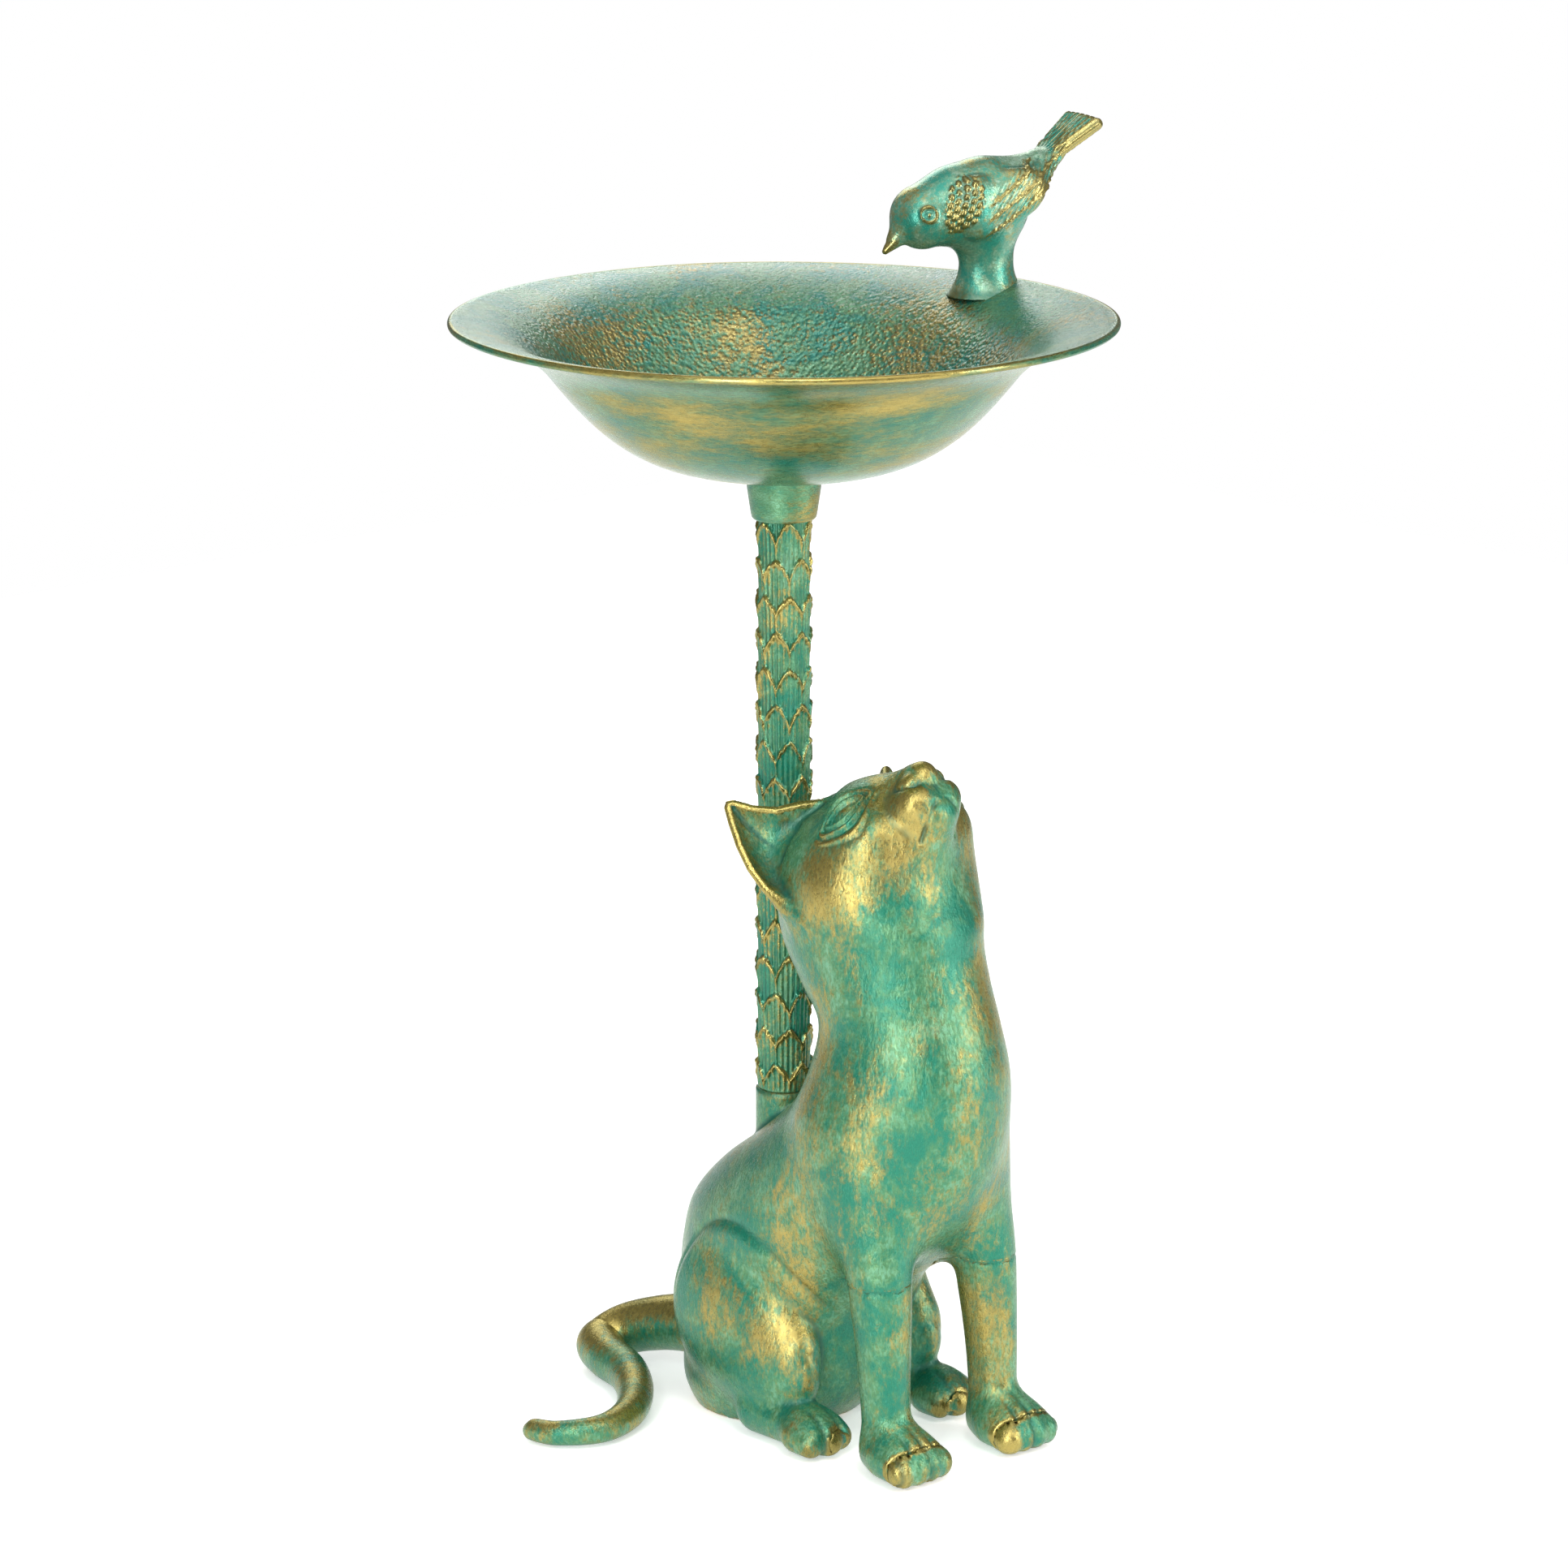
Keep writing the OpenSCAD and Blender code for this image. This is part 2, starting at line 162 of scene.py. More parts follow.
def outline_inset(u, v, corners):
    """How far (u, v) lies inside a closed outline, below zero outside it."""
    d = np.full(len(u), 1e9, np.float32)
    sign = np.ones(len(u), np.float32)
    for (ax, ay), (bx, by) in zip(corners, np.roll(corners, -1, 0)):
        ex, ey, wx, wy = bx - ax, by - ay, u - ax, v - ay
        h = unit((wx * ex + wy * ey) / (ex * ex + ey * ey))
        d = np.minimum(d, (wx - ex * h) ** 2 + (wy - ey * h) ** 2)
        cross = ex * wy > ey * wx
        flip = ((v >= ay) & (v < by) & cross) | ((v < ay) & (v >= by) & ~cross)
        sign = np.where(flip, -sign, sign)
    return -np.sqrt(d) * sign


def ear(m):
    """A dished leaf: a rounded rim along the outline, a hollow in front and a crowned back. The second result is the
    points in the ear's own axes."""
    q = m - ear_inner
    u, v, w = q @ ear_along, q @ ear_high, q @ ear_out
    inset = outline_inset(u, v, ear_outline)
    inside = np.clip(inset, 0, 99)
    back = 3.4 + 12 * (1 - np.exp(-inside / 12))
    hollow = 11 * (1 - np.exp(-np.clip(inside - 3.0, 0, 99) / 6))
    return carve(carve(w + hollow, -w - back, 2.2), -inset, 2.6), np.stack([u, v, w], 1)


def in_head_axes(p):
    """Points in the head's own axes, across, forward along the muzzle and up to the crown, with both sides laid on
    one."""
    m = (p - head_at) @ head_axes.T
    m[:, 0] = np.abs(m[:, 0])
    return m


def head(p):
    """The head: a skull, cheeks and brow, a muzzle with pads, chin and nose, and an ear, each filleted to the rest."""
    m = in_head_axes(p)
    d = egg(m, (0, -2, -5), (42, 39, 35))
    d = blend(d, egg(m, (0, -6, -15), (37, 30, 23)), 12)
    d = blend(d, limb(m, (0, 12, -14), (0, 38, -17), 23, 12), 10)
    d = blend(d, limb(m, (0, 14, 5), (0, 44, -5), 21, 9), 9)
    d = blend(d, egg(m, (19, 12, -10), (19, 22, 16)), 9)
    d = blend(d, egg(m, (8, 40.5, -14.5), (10, 11.5, 9.5)), 5)
    d = blend(d, egg(m, (0, 36, -22.5), (8, 9.5, 6)), 9)
    d = blend(d, limb(m, (0, 38, 0), (0, 50.5, -5.5), 7.5, 6.6), 4)
    d = blend(d, egg(m, (7.6, 46.5, -6.5), (4.8, 5.8, 4.4)), 2.5)
    leaf, on_ear = ear(m)
    return carve(blend(d, leaf, 4), -egg(on_ear, (23, 7, -4), (17, 15, 9)), 3)


def seated_cat(p):
    """The whole cat without its tail. Both sides are alike, so one side is worked out."""
    m = p.copy()
    m[:, 0] = np.abs(m[:, 0])
    d = carve(trunk(m, body_ovals), p[:, 2] - 286 - 0.35 * (p[:, 1] + 70), 26)
    haunch = blend(egg(m, (36.5, -11, 54), (21.5, 42.5, 43)), egg(m, (38.5, -32, 36), (16, 32, 28)), 8)
    d = blend(d, haunch, 3)
    foot = blend(limb(m, (40, -30, 13), (41, -60, 11.5), 13, 11), egg(m, (41, -66, 11), (14.5, 14, 10.5)), 5)
    hind_toes = limb(m, (41, -64, 9), (41, -76, 8), 7.5, 6.8)
    for i in (-1, 1):
        hind_toes = blend(hind_toes, limb(m, (41 + 8 * i, -64, 9), (41 + 8.6 * i, -73.5, 7.8), 7.2, 6.4), 1.2)
    d = blend(d, blend(foot, hind_toes, 4), 4)
    leg = carve(trunk(m, foreleg_ovals), p[:, 2] - 205, 12)
    leg = carve(leg, 6 - p[:, 2], 6)
    leg = blend(leg, egg(m, (34, -118, 12.5), (16, 18, 12.5)), 8)
    toes = limb(m, (31, -118, 11), (30.4, -131.5, 8.4), 7.6, 7.4)
    for i in (-1.5, 0.5, 1.5):
        toes = blend(toes, limb(m, (34 + 6 * i, -118, 11), (34 + 7.2 * i, -132 + abs(i), 8.4), 7.6, 7.4), 1.2)
    leg = blend(leg, toes, 5)
    d = blend(d, leg, 16)
    d = blend(d, head(p), 12)
    r = np.hypot(p[:, 0], p[:, 1])
    flare = 13.3 + 15 * unit((134 - p[:, 2]) / 40) ** 2.2
    socket = np.maximum(np.maximum(r - flare, p[:, 2] - 154.9), 80 - p[:, 2])
    return blend(d, socket, 2.5)


leg_seam, leg_reach = 90.0, 27
drain_middle, drain_radius, drain_depth = -26, 6, 26
weld_lap = 1.4


def from_leg(p):
    """Distance from the axis of the nearer foreleg."""
    return np.hypot(np.abs(p[:, 0]) - 34, p[:, 1] + 106)


def foreleg_room(p, over):
    """The space that a foreleg takes up, to a little over or under the weld."""
    return np.maximum(from_leg(p) - leg_reach, p[:, 2] - leg_seam - over)


def cat_casting(p):
    """The casting without its forelegs, standing flat on the ground, with a 12 mm drain hole up into it."""
    d = np.maximum(seated_cat(p), -foreleg_room(p, -weld_lap))
    drain = np.maximum(np.hypot(p[:, 0], p[:, 1] - drain_middle) - drain_radius, p[:, 2] - drain_depth)
    return np.maximum(np.maximum(d, -p[:, 2]), -drain)


def levels(low, high, step):
    """Even grid lines that reach past both ends."""
    return np.arange(low - 2.5 * step, high + 3.5 * step, step, dtype=np.float32)


def sounding(solid, axes, block=6):
    """The distance on a grid, worked out in full only in the blocks that the surface can pass through."""
    n = [len(a) for a in axes]
    middles = [a[np.minimum(np.arange(0, m, block) + block // 2, m - 1)] for a, m in zip(axes, n)]
    coarse = solid(np.stack(np.meshgrid(*middles, indexing="ij"), -1).reshape(-1, 3))
    f = coarse.reshape([len(c) for c in middles])
    for k in range(3):
        f = np.repeat(f, block, k)
    f = f[: n[0], : n[1], : n[2]].copy()
    i = np.nonzero(np.abs(f) < 1.3 * block * max(np.diff(a).max() for a in axes))
    p = np.stack([a[k] for a, k in zip(axes, i)], 1)
    f[i] = np.concatenate([solid(part) for part in np.array_split(p, len(p) // 300000 + 1)])
    return f


def skin(solid, axes):
    """Surface net: a point in every cell that the surface crosses, and a quad round every crossed grid edge."""
    f = sounding(solid, axes)
    cells = tuple(n - 1 for n in f.shape)
    total, count, quads = np.zeros((np.prod(cells), 3), np.float32), np.zeros(np.prod(cells), np.float32), []
    for k in range(3):
        low, high = [slice(None)] * 3, [slice(None)] * 3
        low[k], high[k] = slice(0, -1), slice(1, None)
        fa, fb = f[tuple(low)], f[tuple(high)]
        i = np.argwhere((fa < 0) != (fb < 0))
        fa, fb = fa[tuple(i.T)], fb[tuple(i.T)]
        point = np.stack([axes[c][i[:, c]] for c in range(3)], 1)
        point[:, k] += fa / (fa - fb) * (axes[k][i[:, k] + 1] - axes[k][i[:, k]])
        u, v = [c for c in range(3) if c != k]
        ring = []
        for du, dv in ((-1, -1), (0, -1), (0, 0), (-1, 0)):
            cell = i.copy()
            cell[:, u] += du
            cell[:, v] += dv
            ring.append(np.ravel_multi_index(cell.T, cells))
            np.add.at(total, ring[-1], point)
            np.add.at(count, ring[-1], 1)
        quad = np.stack(ring, 1)
        turned = (fa > fb) if k != 1 else (fa <= fb)
        quad[turned] = quad[turned][:, ::-1]
        quads.append(quad)
    used, quad = np.unique(np.concatenate(quads), return_inverse=True)
    return total[used] / count[used][:, None], quad.reshape(-1, 4)


def slope_of(solid, p, h=0.4):
    """Gradient of the distance, from its change over h mm either way."""
    return np.stack([solid(p + np.float32(e)) - solid(p - np.float32(e)) for e in np.eye(3) * h], 1) / (2 * h)


def settle(solid, p, times=2):
    """Moves points down the slope onto the surface itself."""
    for _ in range(times):
        g = slope_of(solid, p)
        p = p - g * np.clip(solid(p) / np.maximum((g**2).sum(1), 0.3), -1.5, 1.5)[:, None]
    return p


def split_quads(p, faces, where):
    """Cuts the quads whose middle satisfies where into four. Their neighbours take the new edge points, so that the
    skin stays closed."""
    quad = np.array([len(f) == 4 for f in faces])
    q = np.array([f for f in faces if len(f) == 4])
    cut = where(p[q].mean(1))
    edges = np.sort(np.stack([q, np.roll(q, -1, 1)], -1), -1)
    key = edges[..., 0].astype(np.int64) * len(p) + edges[..., 1]
    marked, place = np.unique(key[cut], return_inverse=True)
    mids = (p[marked // len(p)] + p[marked % len(p)]) / 2
    centres = p[q[cut]].mean(1)
    m = len(p) + place.reshape(-1, 4)
    c = len(p) + len(marked) + np.arange(cut.sum())
    a = q[cut]
    small = [np.stack([a[:, k], m[:, k], c, m[:, k - 1]], 1) for k in range(4)]
    rest, rest_key = q[~cut], key[~cut]
    at = np.clip(np.searchsorted(marked, rest_key), 0, len(marked) - 1)
    hit = marked[at] == rest_key
    plain = ~hit.any(1)
    border = [
        [int(i) for k in range(4) for i in ((f[k], len(p) + w[k]) if h[k] else (f[k],))]
        for f, w, h in zip(rest[~plain], at[~plain], hit[~plain])
    ]
    others = [f for f, k in zip(faces, quad) if not k]
    return np.concatenate([p, mids, centres]), np.concatenate([rest[plain]] + small).tolist() + border + others


def put(name, points, faces, material, body, node, marks=None):
    """Makes a piece from points in mm, gives it its finish and its marks, and hands it to its body."""
    mesh = bpy.data.meshes.new(name)
    faces = faces if isinstance(faces, list) else faces.tolist()
    mesh.from_pydata((np.asarray(points, float) / 1000).tolist(), [], faces)
    mesh.shade_smooth()
    for mark, values in (marks or {}).items():
        mesh.attributes.new(mark, "FLOAT", "POINT").data.foreach_set("value", np.float32(unit(values)))
    mesh.materials.append(material)
    piece = bpy.data.objects.new(name, mesh)
    bpy.context.scene.collection.objects.link(piece)
    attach(piece, body)
    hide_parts(node)
    return piece


eye_at = np.float32([28.5, 26, 7])
eye_out = np.float32([0.62, 0.66, 0.42]) / np.linalg.norm([0.62, 0.66, 0.42])
eye_back = np.float32([27, -25.4, 1.0])
eye_back = eye_back - eye_out * (eye_out @ eye_back)
eye_back /= np.linalg.norm(eye_back)
eye_up = np.cross(eye_out, eye_back)
mouth_line = [
    (0, 60, -14), (0, 56, -18), (0.5, 53, -21), (3.5, 51, -22), (6.5, 48, -23.5), (8.5, 44, -25), (10, 38, -27),
    (11, 32, -28.5),
]
nostril_line = [(0, 58, -12.5), (5, 55, -12), (10, 51.5, -11), (12.8, 47, -8), (12.5, 42, -3)]


def weld_line(p):
    """The dressed weld across a foreleg: a bead at its height that wanders a little."""
    return ridge(p[:, 2] - leg_seam - 0.7 * np.sin(np.abs(p[:, 0]) * 0.5) - 0.4 * np.sin(p[:, 1] * 0.9), 0, 0.9)


def chasing(p):
    """The chased detail as a height in mm: eyelids and eyeball, tear line, mouth, nostrils, haunch and toes. The
    second result is the part of it that is the swell of the haunch."""
    m = in_head_axes(p)
    q = m - eye_at
    u, v, w = q @ eye_back, q @ eye_up, q @ eye_out
    arch = np.tanh(v / 3)
    shift = np.abs(u - 2.6 * arch) / 9.6
    lid = (np.abs(v) - 5.0 * np.clip(1 - shift**1.75, -3.0, 1)) * 0.85
    near = np.exp(-((w / 12) ** 4)) * ridge(np.clip(np.abs(u) - 16, 0, 99), 0, 3)
    near = near * (1 - 0.6 * (lid > 6) * unit(-v / 6))
    ball = -1.7 * unit(-lid / 0.7) + 2.1 * unit(-(lid + 0.9) / 3.2) ** 0.6
    folds = 1.1 * ridge(lid, 1.0, 0.8) - 1.1 * ridge(lid, 2.9, 0.8)
    folds = folds + 1.15 * ridge(lid, 4.9, 0.95) - 1.0 * ridge(lid, 7.0, 1.0)
    brow = (0.8 * ridge(lid, 9.2, 1.2) - 0.6 * ridge(lid, 11.6, 1.3)) * (v > 0)
    h = (folds + ball + brow) * near
    tear_line = [eye_at + back * eye_back - drop * eye_up for back, drop in ((14, 0), (18, 1.0), (22, 2.5))]
    h = h - 1.4 * ridge(scribe(m, tear_line), 0, 1.2)
    h = h - 1.7 * ridge(scribe(m, mouth_line), 0, 1.1) - 1.4 * ridge(scribe(m, nostril_line), 0, 1.0)
    x, y, z = np.abs(p[:, 0]), p[:, 1], p[:, 2]
    rim = (1 - np.hypot((y + 21) / 41, (z - 56) / 46)) * 43
    on_side = unit((x - 22) / 10) * unit((z - 34) / 16)
    swell = 1.9 * unit((rim + 1) / 5) * np.exp(-np.clip(rim, 0, 99) / 15)
    h = h + (swell - 1.0 * ridge(rim, -1.6, 1.3)) * on_side
    for gap in (-4.4, 4.4):
        groove = np.abs(x - 41 - gap * (1 - (y + 62) * 0.012))
        h = h - 1.3 * ridge(groove, 0, 1.15) * unit((-62 - y) / 5) * unit((26 - z) / 5)
    return h - 0.45 * (from_leg(p) < leg_reach) * weld_line(p), swell * on_side


def paw_chasing(p):
    """Grooves between the four toes of a front paw, and the weld line at the top of the leg."""
    x, y = np.abs(p[:, 0]), p[:, 1]
    h = -0.45 * weld_line(p)
    for gap in (-6.6, 0, 6.6):
        groove = np.abs(x - 34 - gap * (1 - (y + 124) * 0.012))
        h = h - 1.5 * ridge(groove, 0, 1.2) * unit((-121 - y) / 7)
    return h


def bend_of(points, normals, faces):
    """How sharply the skin bends, in 1/mm: above zero where it is crowned, below zero in a hollow. It is the turn of
    the normal for each length of edge, evened out twice with its neighbours."""
    q = np.array([f for f in faces if len(f) == 4])
    a, b = q.ravel(), np.roll(q, -1, 1).ravel()
    d = points[b] - points[a]
    k = ((normals[b] - normals[a]) * d).sum(1) / np.maximum((d**2).sum(1), 1e-4)
    n = len(points)
    count = np.bincount(a, minlength=n) + np.bincount(b, minlength=n)
    c = (np.bincount(a, k, n) + np.bincount(b, k, n)) / np.maximum(count, 1)
    for _ in range(2):
        c = 0.4 * c + 0.6 * (np.bincount(a, c[b], n) + np.bincount(b, c[a], n)) / np.maximum(count, 1)
    return c


def worn(bend, relief=0.0, gain=1.0):
    """Where dry-brushed gold catches: sharp crowned places, and chased detail that stands proud."""
    return unit((bend - 0.05) / 0.34) * gain + np.clip(0.35 * relief, 0, 0.5)


def sunk(bend, relief=0.0):
    """Where the dark ground stays: sharp hollows and chased grooves."""
    return unit((-bend - 0.012) / 0.12) + np.clip(-0.5 * relief, 0, 0.9)


def linear(colour):
    """An sRGB hex colour in the linear values that the shader takes."""
    c = [int(colour[i : i + 2], 16) / 255 for i in (1, 3, 5)]
    return tuple(v / 12.92 if v <= 0.04045 else ((v + 0.055) / 1.055) ** 2.4 for v in c) + (1.0,)


def add(tree, kind, inputs=None, out=None, **settings):
    """Adds a node with its settings, links or sets its inputs, and gives its output out, or else its first live one."""
    made = tree.nodes.new(kind)
    for key, value in settings.items():
        setattr(made, key, value)
    for key, value in (inputs or {}).items():
        if isinstance(value, bpy.types.NodeSocket):
            tree.links.new(value, made.inputs[key])
        else:
            made.inputs[key].default_value = value
    return made.outputs[out] if out else next((o for o in made.outputs if o.enabled), None)


def blank(name):
    """A material with nothing in it yet, and its node tree."""
    material = bpy.data.materials.new(name)
    material.use_nodes = True
    material.node_tree.nodes.clear()
    return material, material.node_tree


def verdigris(
    name, blotch=24, bare=0.05, stroke=(1, 1, 1), grain_depth=0.16, rub_and_sheen_gain=1.0, speckle=1.0, lacquer=0.35,
    teal="#137059", moss="#4c7c52", pale="#78b296",
):
    """Cast metal painted blue-green over gold, wiped back, dry-brushed with gold and lacquered satin.
    Cloudy teal and moss green carry a fine stipple of gold that thickens in drifts and covers whatever stands proud.
    Hollows stay dark green. Each piece's marks can also paint shade in that dark green, and a sheen in gold.
    blotch is the size of the clouds in mm and grain_depth the depth of the grain, bare is how much gold shows away from
    the edges, stroke stretches the brush marks, and speckle is 1 for a stippling brush and near 0 for a wet wipe."""
    times_plus, soft, dye = {"operation": "MULTIPLY_ADD"}, {"interpolation_type": "SMOOTHSTEP"}, {"data_type": "RGBA"}
    material, t = blank(name)
    place = add(t, "ShaderNodeTexCoord", out="Object")
    mm = add(t, "ShaderNodeMapping", {"Vector": place, "Scale": (1000, 1000, 1000)})
    brush = add(t, "ShaderNodeMapping", {"Vector": mm, "Scale": stroke})
    rub_and_sheen, pit_and_shade, cast = (
        add(t, "ShaderNodeAttribute", out="Fac", attribute_name=mark) for mark in ("rub_and_sheen", "pit_and_shade", "stipple")
    )
    # Clouds of paint, drifts of gold, specks about 3 mm apart, and grit of 1.3 mm, coarser than the real half
    # millimetre so that it shows.
    fields = (
        (mm, 1 / blotch, 6, 0.7, 0.6), (brush, 0.6 / blotch, 4, 0.6, 0), (brush, 1 / 3.4, 5, 0.85, 0.3),
        (brush, 1 / 1.3, 2, 0.6, 0),
    )
    clouds, drifts, specks, grit = (
        add(t, "ShaderNodeTexNoise", {"Vector": v, "Scale": per_mm, "Detail": d, "Roughness": r, "Distortion": twist})
        for v, per_mm, d, r, twist in fields
    )
    bead = add(t, "ShaderNodeTexVoronoi", {"Vector": mm, "Scale": 1 / 2.1, "Smoothness": 0.6}, feature="SMOOTH_F1")
    bead = add(t, "ShaderNodeMath", {0: 0.55, 1: bead}, operation="SUBTRACT")
    bead = add(t, "ShaderNodeMath", {0: bead, 1: cast}, operation="MULTIPLY")

    mottle = add(t, "ShaderNodeMath", {0: specks, 1: 0.5, 2: clouds}, **times_plus)
    mossy = add(t, "ShaderNodeMapRange", {"Value": mottle, "From Min": 0.62, "From Max": 0.86}, **soft)
    ground = add(t, "ShaderNodeMix", {"Factor": mossy, "A": linear(teal), "B": linear(moss)}, **dye)
    chalk = add(t, "ShaderNodeMath", {0: grit, 1: 0.6, 2: clouds}, **times_plus)
    chalky = add(t, "ShaderNodeMapRange", {"Value": chalk, "From Min": 0.82, "From Max": 1.05, "To Max": 0.55})
    ground = add(t, "ShaderNodeMix", {"Factor": chalky, "A": ground, "B": linear(pale)}, **dye)

    spread = add(t, "ShaderNodeMath", {0: specks, 1: speckle, 2: 0.5 - 0.5 * speckle}, **times_plus)
    # Gold where the rub mark calls for it: dry-brushed wear, and on the collar a painted sheen down one side.
    for layer, share in ((drifts, 0.75), (bead, 0.35), (rub_and_sheen, 0.8 * rub_and_sheen_gain)):
        spread = add(t, "ShaderNodeMath", {0: layer, 1: share, 2: spread}, **times_plus)
    covered = {"Value": spread, "From Min": 0.87 - bare, "From Max": 1.06 - bare, "To Max": 0.82}
    gilt = add(t, "ShaderNodeMapRange", covered, **soft)
    thick = add(t, "ShaderNodeMath", {0: grit, 1: 0.4, 2: drifts}, **times_plus)
    thick = add(t, "ShaderNodeMapRange", {"Value": thick, "From Min": 0.50, "From Max": 0.88})
    gold = add(t, "ShaderNodeMix", {"Factor": thick, "A": linear("#62571f"), "B": linear("#b2984c")}, **dye)
    colour = add(t, "ShaderNodeMix", {"Factor": gilt, "A": ground, "B": gold}, **dye)
    # Dark green where the pit mark calls for it: hollows and joints, and painted shade under the tail and at the foot
    # of the column's leaves.
    deep_and_shade = add(t, "ShaderNodeMath", {0: grit, 1: 0.25, 2: pit_and_shade}, **times_plus)
    deep_and_shade = add(t, "ShaderNodeMapRange", {"Value": deep_and_shade, "From Min": 0.24, "From Max": 1.0, "To Max": 0.8})
    colour = add(t, "ShaderNodeMix", {"Factor": deep_and_shade, "A": colour, "B": linear("#125448")}, **dye)

    metal = add(t, "ShaderNodeMath", {0: gilt, 1: 0.5, 2: 0.4}, **times_plus)
    gloss = add(t, "ShaderNodeMath", {0: deep_and_shade, 1: 0.25, 2: 0.14}, **times_plus)
    gloss = add(t, "ShaderNodeMath", {0: grit, 1: 0.28, 2: gloss}, **times_plus)
    height = add(t, "ShaderNodeMath", {0: grit, 1: 0.8, 2: specks}, **times_plus)
    height = add(t, "ShaderNodeMath", {0: bead, 1: 2.6, 2: height}, **times_plus)
    worn_flat = add(t, "ShaderNodeMapRange", {"Value": rub_and_sheen, "From Max": 0.5, "To Min": 1.0, "To Max": 0.4})
    bump = add(t, "ShaderNodeBump", {"Strength": worn_flat, "Distance": grain_depth / 1000, "Height": height})
    shader = add(t, "ShaderNodeBsdfPrincipled", {
        "Base Color": colour, "Metallic": metal, "Roughness": gloss, "Normal": bump,
        "Specular Tint": linear("#b4bda2"), "Coat Weight": lacquer, "Coat Roughness": 0.2, "Coat Normal": bump,
    })
    add(t, "ShaderNodeOutputMaterial", {"Surface": shader})
    return material


cast_patina = verdigris(
    "cast_aluminium_verdigris_and_gold", blotch=22, bare=0.0, stroke=(1, 1, 0.5), grain_depth=0.36, rub_and_sheen_gain=0.85,
    speckle=0.65,
)


def face_room(p):
    """The part of the head that carries fine detail: the eye, the muzzle and the ear."""
    m = in_head_axes(p)
    near_eye = np.linalg.norm(m - eye_at, axis=1)
    return (near_eye < 21) | ((m[:, 1] > 30) & (m[:, 2] < 4)) | ((m[:, 0] > 22) & (m[:, 2] > 14))


def eye_room(p):
    """The part of the head that carries the finest detail: the eye and its lids."""
    return np.linalg.norm(in_head_axes(p) - eye_at, axis=1) < 14.5


def normals_of(solid, p):
    """Unit normals of a solid: its slope over the slope's length."""
    g = slope_of(solid, p)
    return g / np.maximum(np.linalg.norm(g, axis=1), 1e-6)[:, None]


body_step = 1.75
axes = [levels(-60, 60, body_step), levels(-136, 51, body_step), levels(0, 330, body_step)]
body_points, body_faces = skin(cat_casting, axes)
body_points = settle(cat_casting, body_points)
body_faces = body_faces.tolist()
body_points, body_faces = split_quads(body_points, body_faces, face_room)
body_points = settle(cat_casting, body_points, 1)
body_points, body_faces = split_quads(body_points, body_faces, eye_room)
body_points = settle(cat_casting, body_points, 1)
body_points[:, 2] = np.maximum(body_points[:, 2], 0)
body_normals = normals_of(cat_casting, body_points)
body_height, haunch_swell = chasing(body_points)
body_bend = bend_of(body_points, body_normals, body_faces)
off_weld = unit(unit(np.abs(body_points[:, 2] - leg_seam) / 2.5) + (body_points[:, 1] > -78))
socket_mouth, socket_reach = 154, 17
off_socket = unit(np.abs(body_points[:, 2] - socket_mouth) / 4)
off_socket = unit(off_socket + (np.hypot(body_points[:, 0], body_points[:, 1]) > socket_reach))
in_head = in_head_axes(body_points)
to_eye = np.linalg.norm(in_head - eye_at, axis=1)
eyeball = 0.3 * ridge(to_eye, 0, 3.5)
in_eye = np.exp(-((to_eye / 15) ** 4))
both_sides = np.abs(body_points) * [1, 0, 0] + body_points * [0, 1, 1]


def brushed_on(points, spots):
    """Soft patches where the gold was laid on more freely: each spot is its middle, its radius in mm and how much."""
    return sum(gain * ridge(np.linalg.norm(points - np.float32(at), axis=1), 0, size) for at, size, gain in spots)


patches = brushed_on(in_head, [
    ((40, 2, -8), 19, 0.17), ((18, 36, -16), 15, 0.12), ((0, 52, -4), 8, 0.04), ((22, 8, 22), 18, 0.04),
    ((0, 0, 0), 48, 0.03),
])
patches += brushed_on(both_sides, [
    ((56, -10, 66), 30, 0.07), ((52, -48, 62), 18, 0.09), ((30, -118, 150), 34, 0.07), ((44, -60, 215), 30, 0.08),
    ((20, -118, 200), 30, 0.05),
])
chased = body_height - haunch_swell
body_rub = worn(body_bend, chased) * (1 - 0.95 * in_eye) + patches * (1 - in_eye) + eyeball
body_rub = body_rub * off_weld * off_socket
body_pit = sunk(body_bend, chased) * (1 - 0.55 * in_eye) + 0.2 * (1 - off_weld) + 0.5 * (1 - off_socket)
body_points = body_points + body_normals * body_height[:, None]
put(
    "cat_body_casting", body_points, body_faces, cast_patina, "stand", "cat_body",
    {"rub_and_sheen": body_rub, "pit_and_shade": body_pit},
)

# ---------------------------------------------------------------- forelegs
# Each foreleg is an aluminium casting of its own, from the paw up to mid leg. It is welded to the body there, and the
# weld is dressed smooth, but a faint line still shows.


def foreleg(p):
    """One foreleg below its weld."""
    return np.maximum(np.maximum(seated_cat(p), foreleg_room(p, weld_lap)), -p[:, 2])


leg_step = 1.05
for side, name in ((-1, "right_foreleg"), (1, "left_foreleg")):
    low, high = sorted((side * 10, side * 62))
    points, faces = skin(foreleg, [levels(low, high, leg_step), levels(-142, -80, leg_step), levels(0, 92, leg_step)])
    points = settle(foreleg, points)
    normal = normals_of(foreleg, points)
    bend, relief = bend_of(points, normal, faces), paw_chasing(points)
    shin = 0.13 * ridge(np.abs(points[:, 0]), 30, 7) * (points[:, 1] < -104)
    below_weld = unit(np.abs(leg_seam - points[:, 2]) / 2.5)
    points = points + normal * relief[:, None]
    points[:, 2] = np.maximum(points[:, 2], 0)
    put(
        name + "_casting", points, faces, cast_patina, "stand", name,
        {"rub_and_sheen": (worn(bend, relief, 0.9) + shin) * below_weld, "pit_and_shade": sunk(bend, relief) + 0.2 * (1 - below_weld)},
    )

# ---------------------------------------------------------------- tail
# The tail is an aluminium bar cast in an S that lies on the ground, tapered to a blunt point. Its thick end is welded
# to the rump, and the gold is rubbed on thickest there.


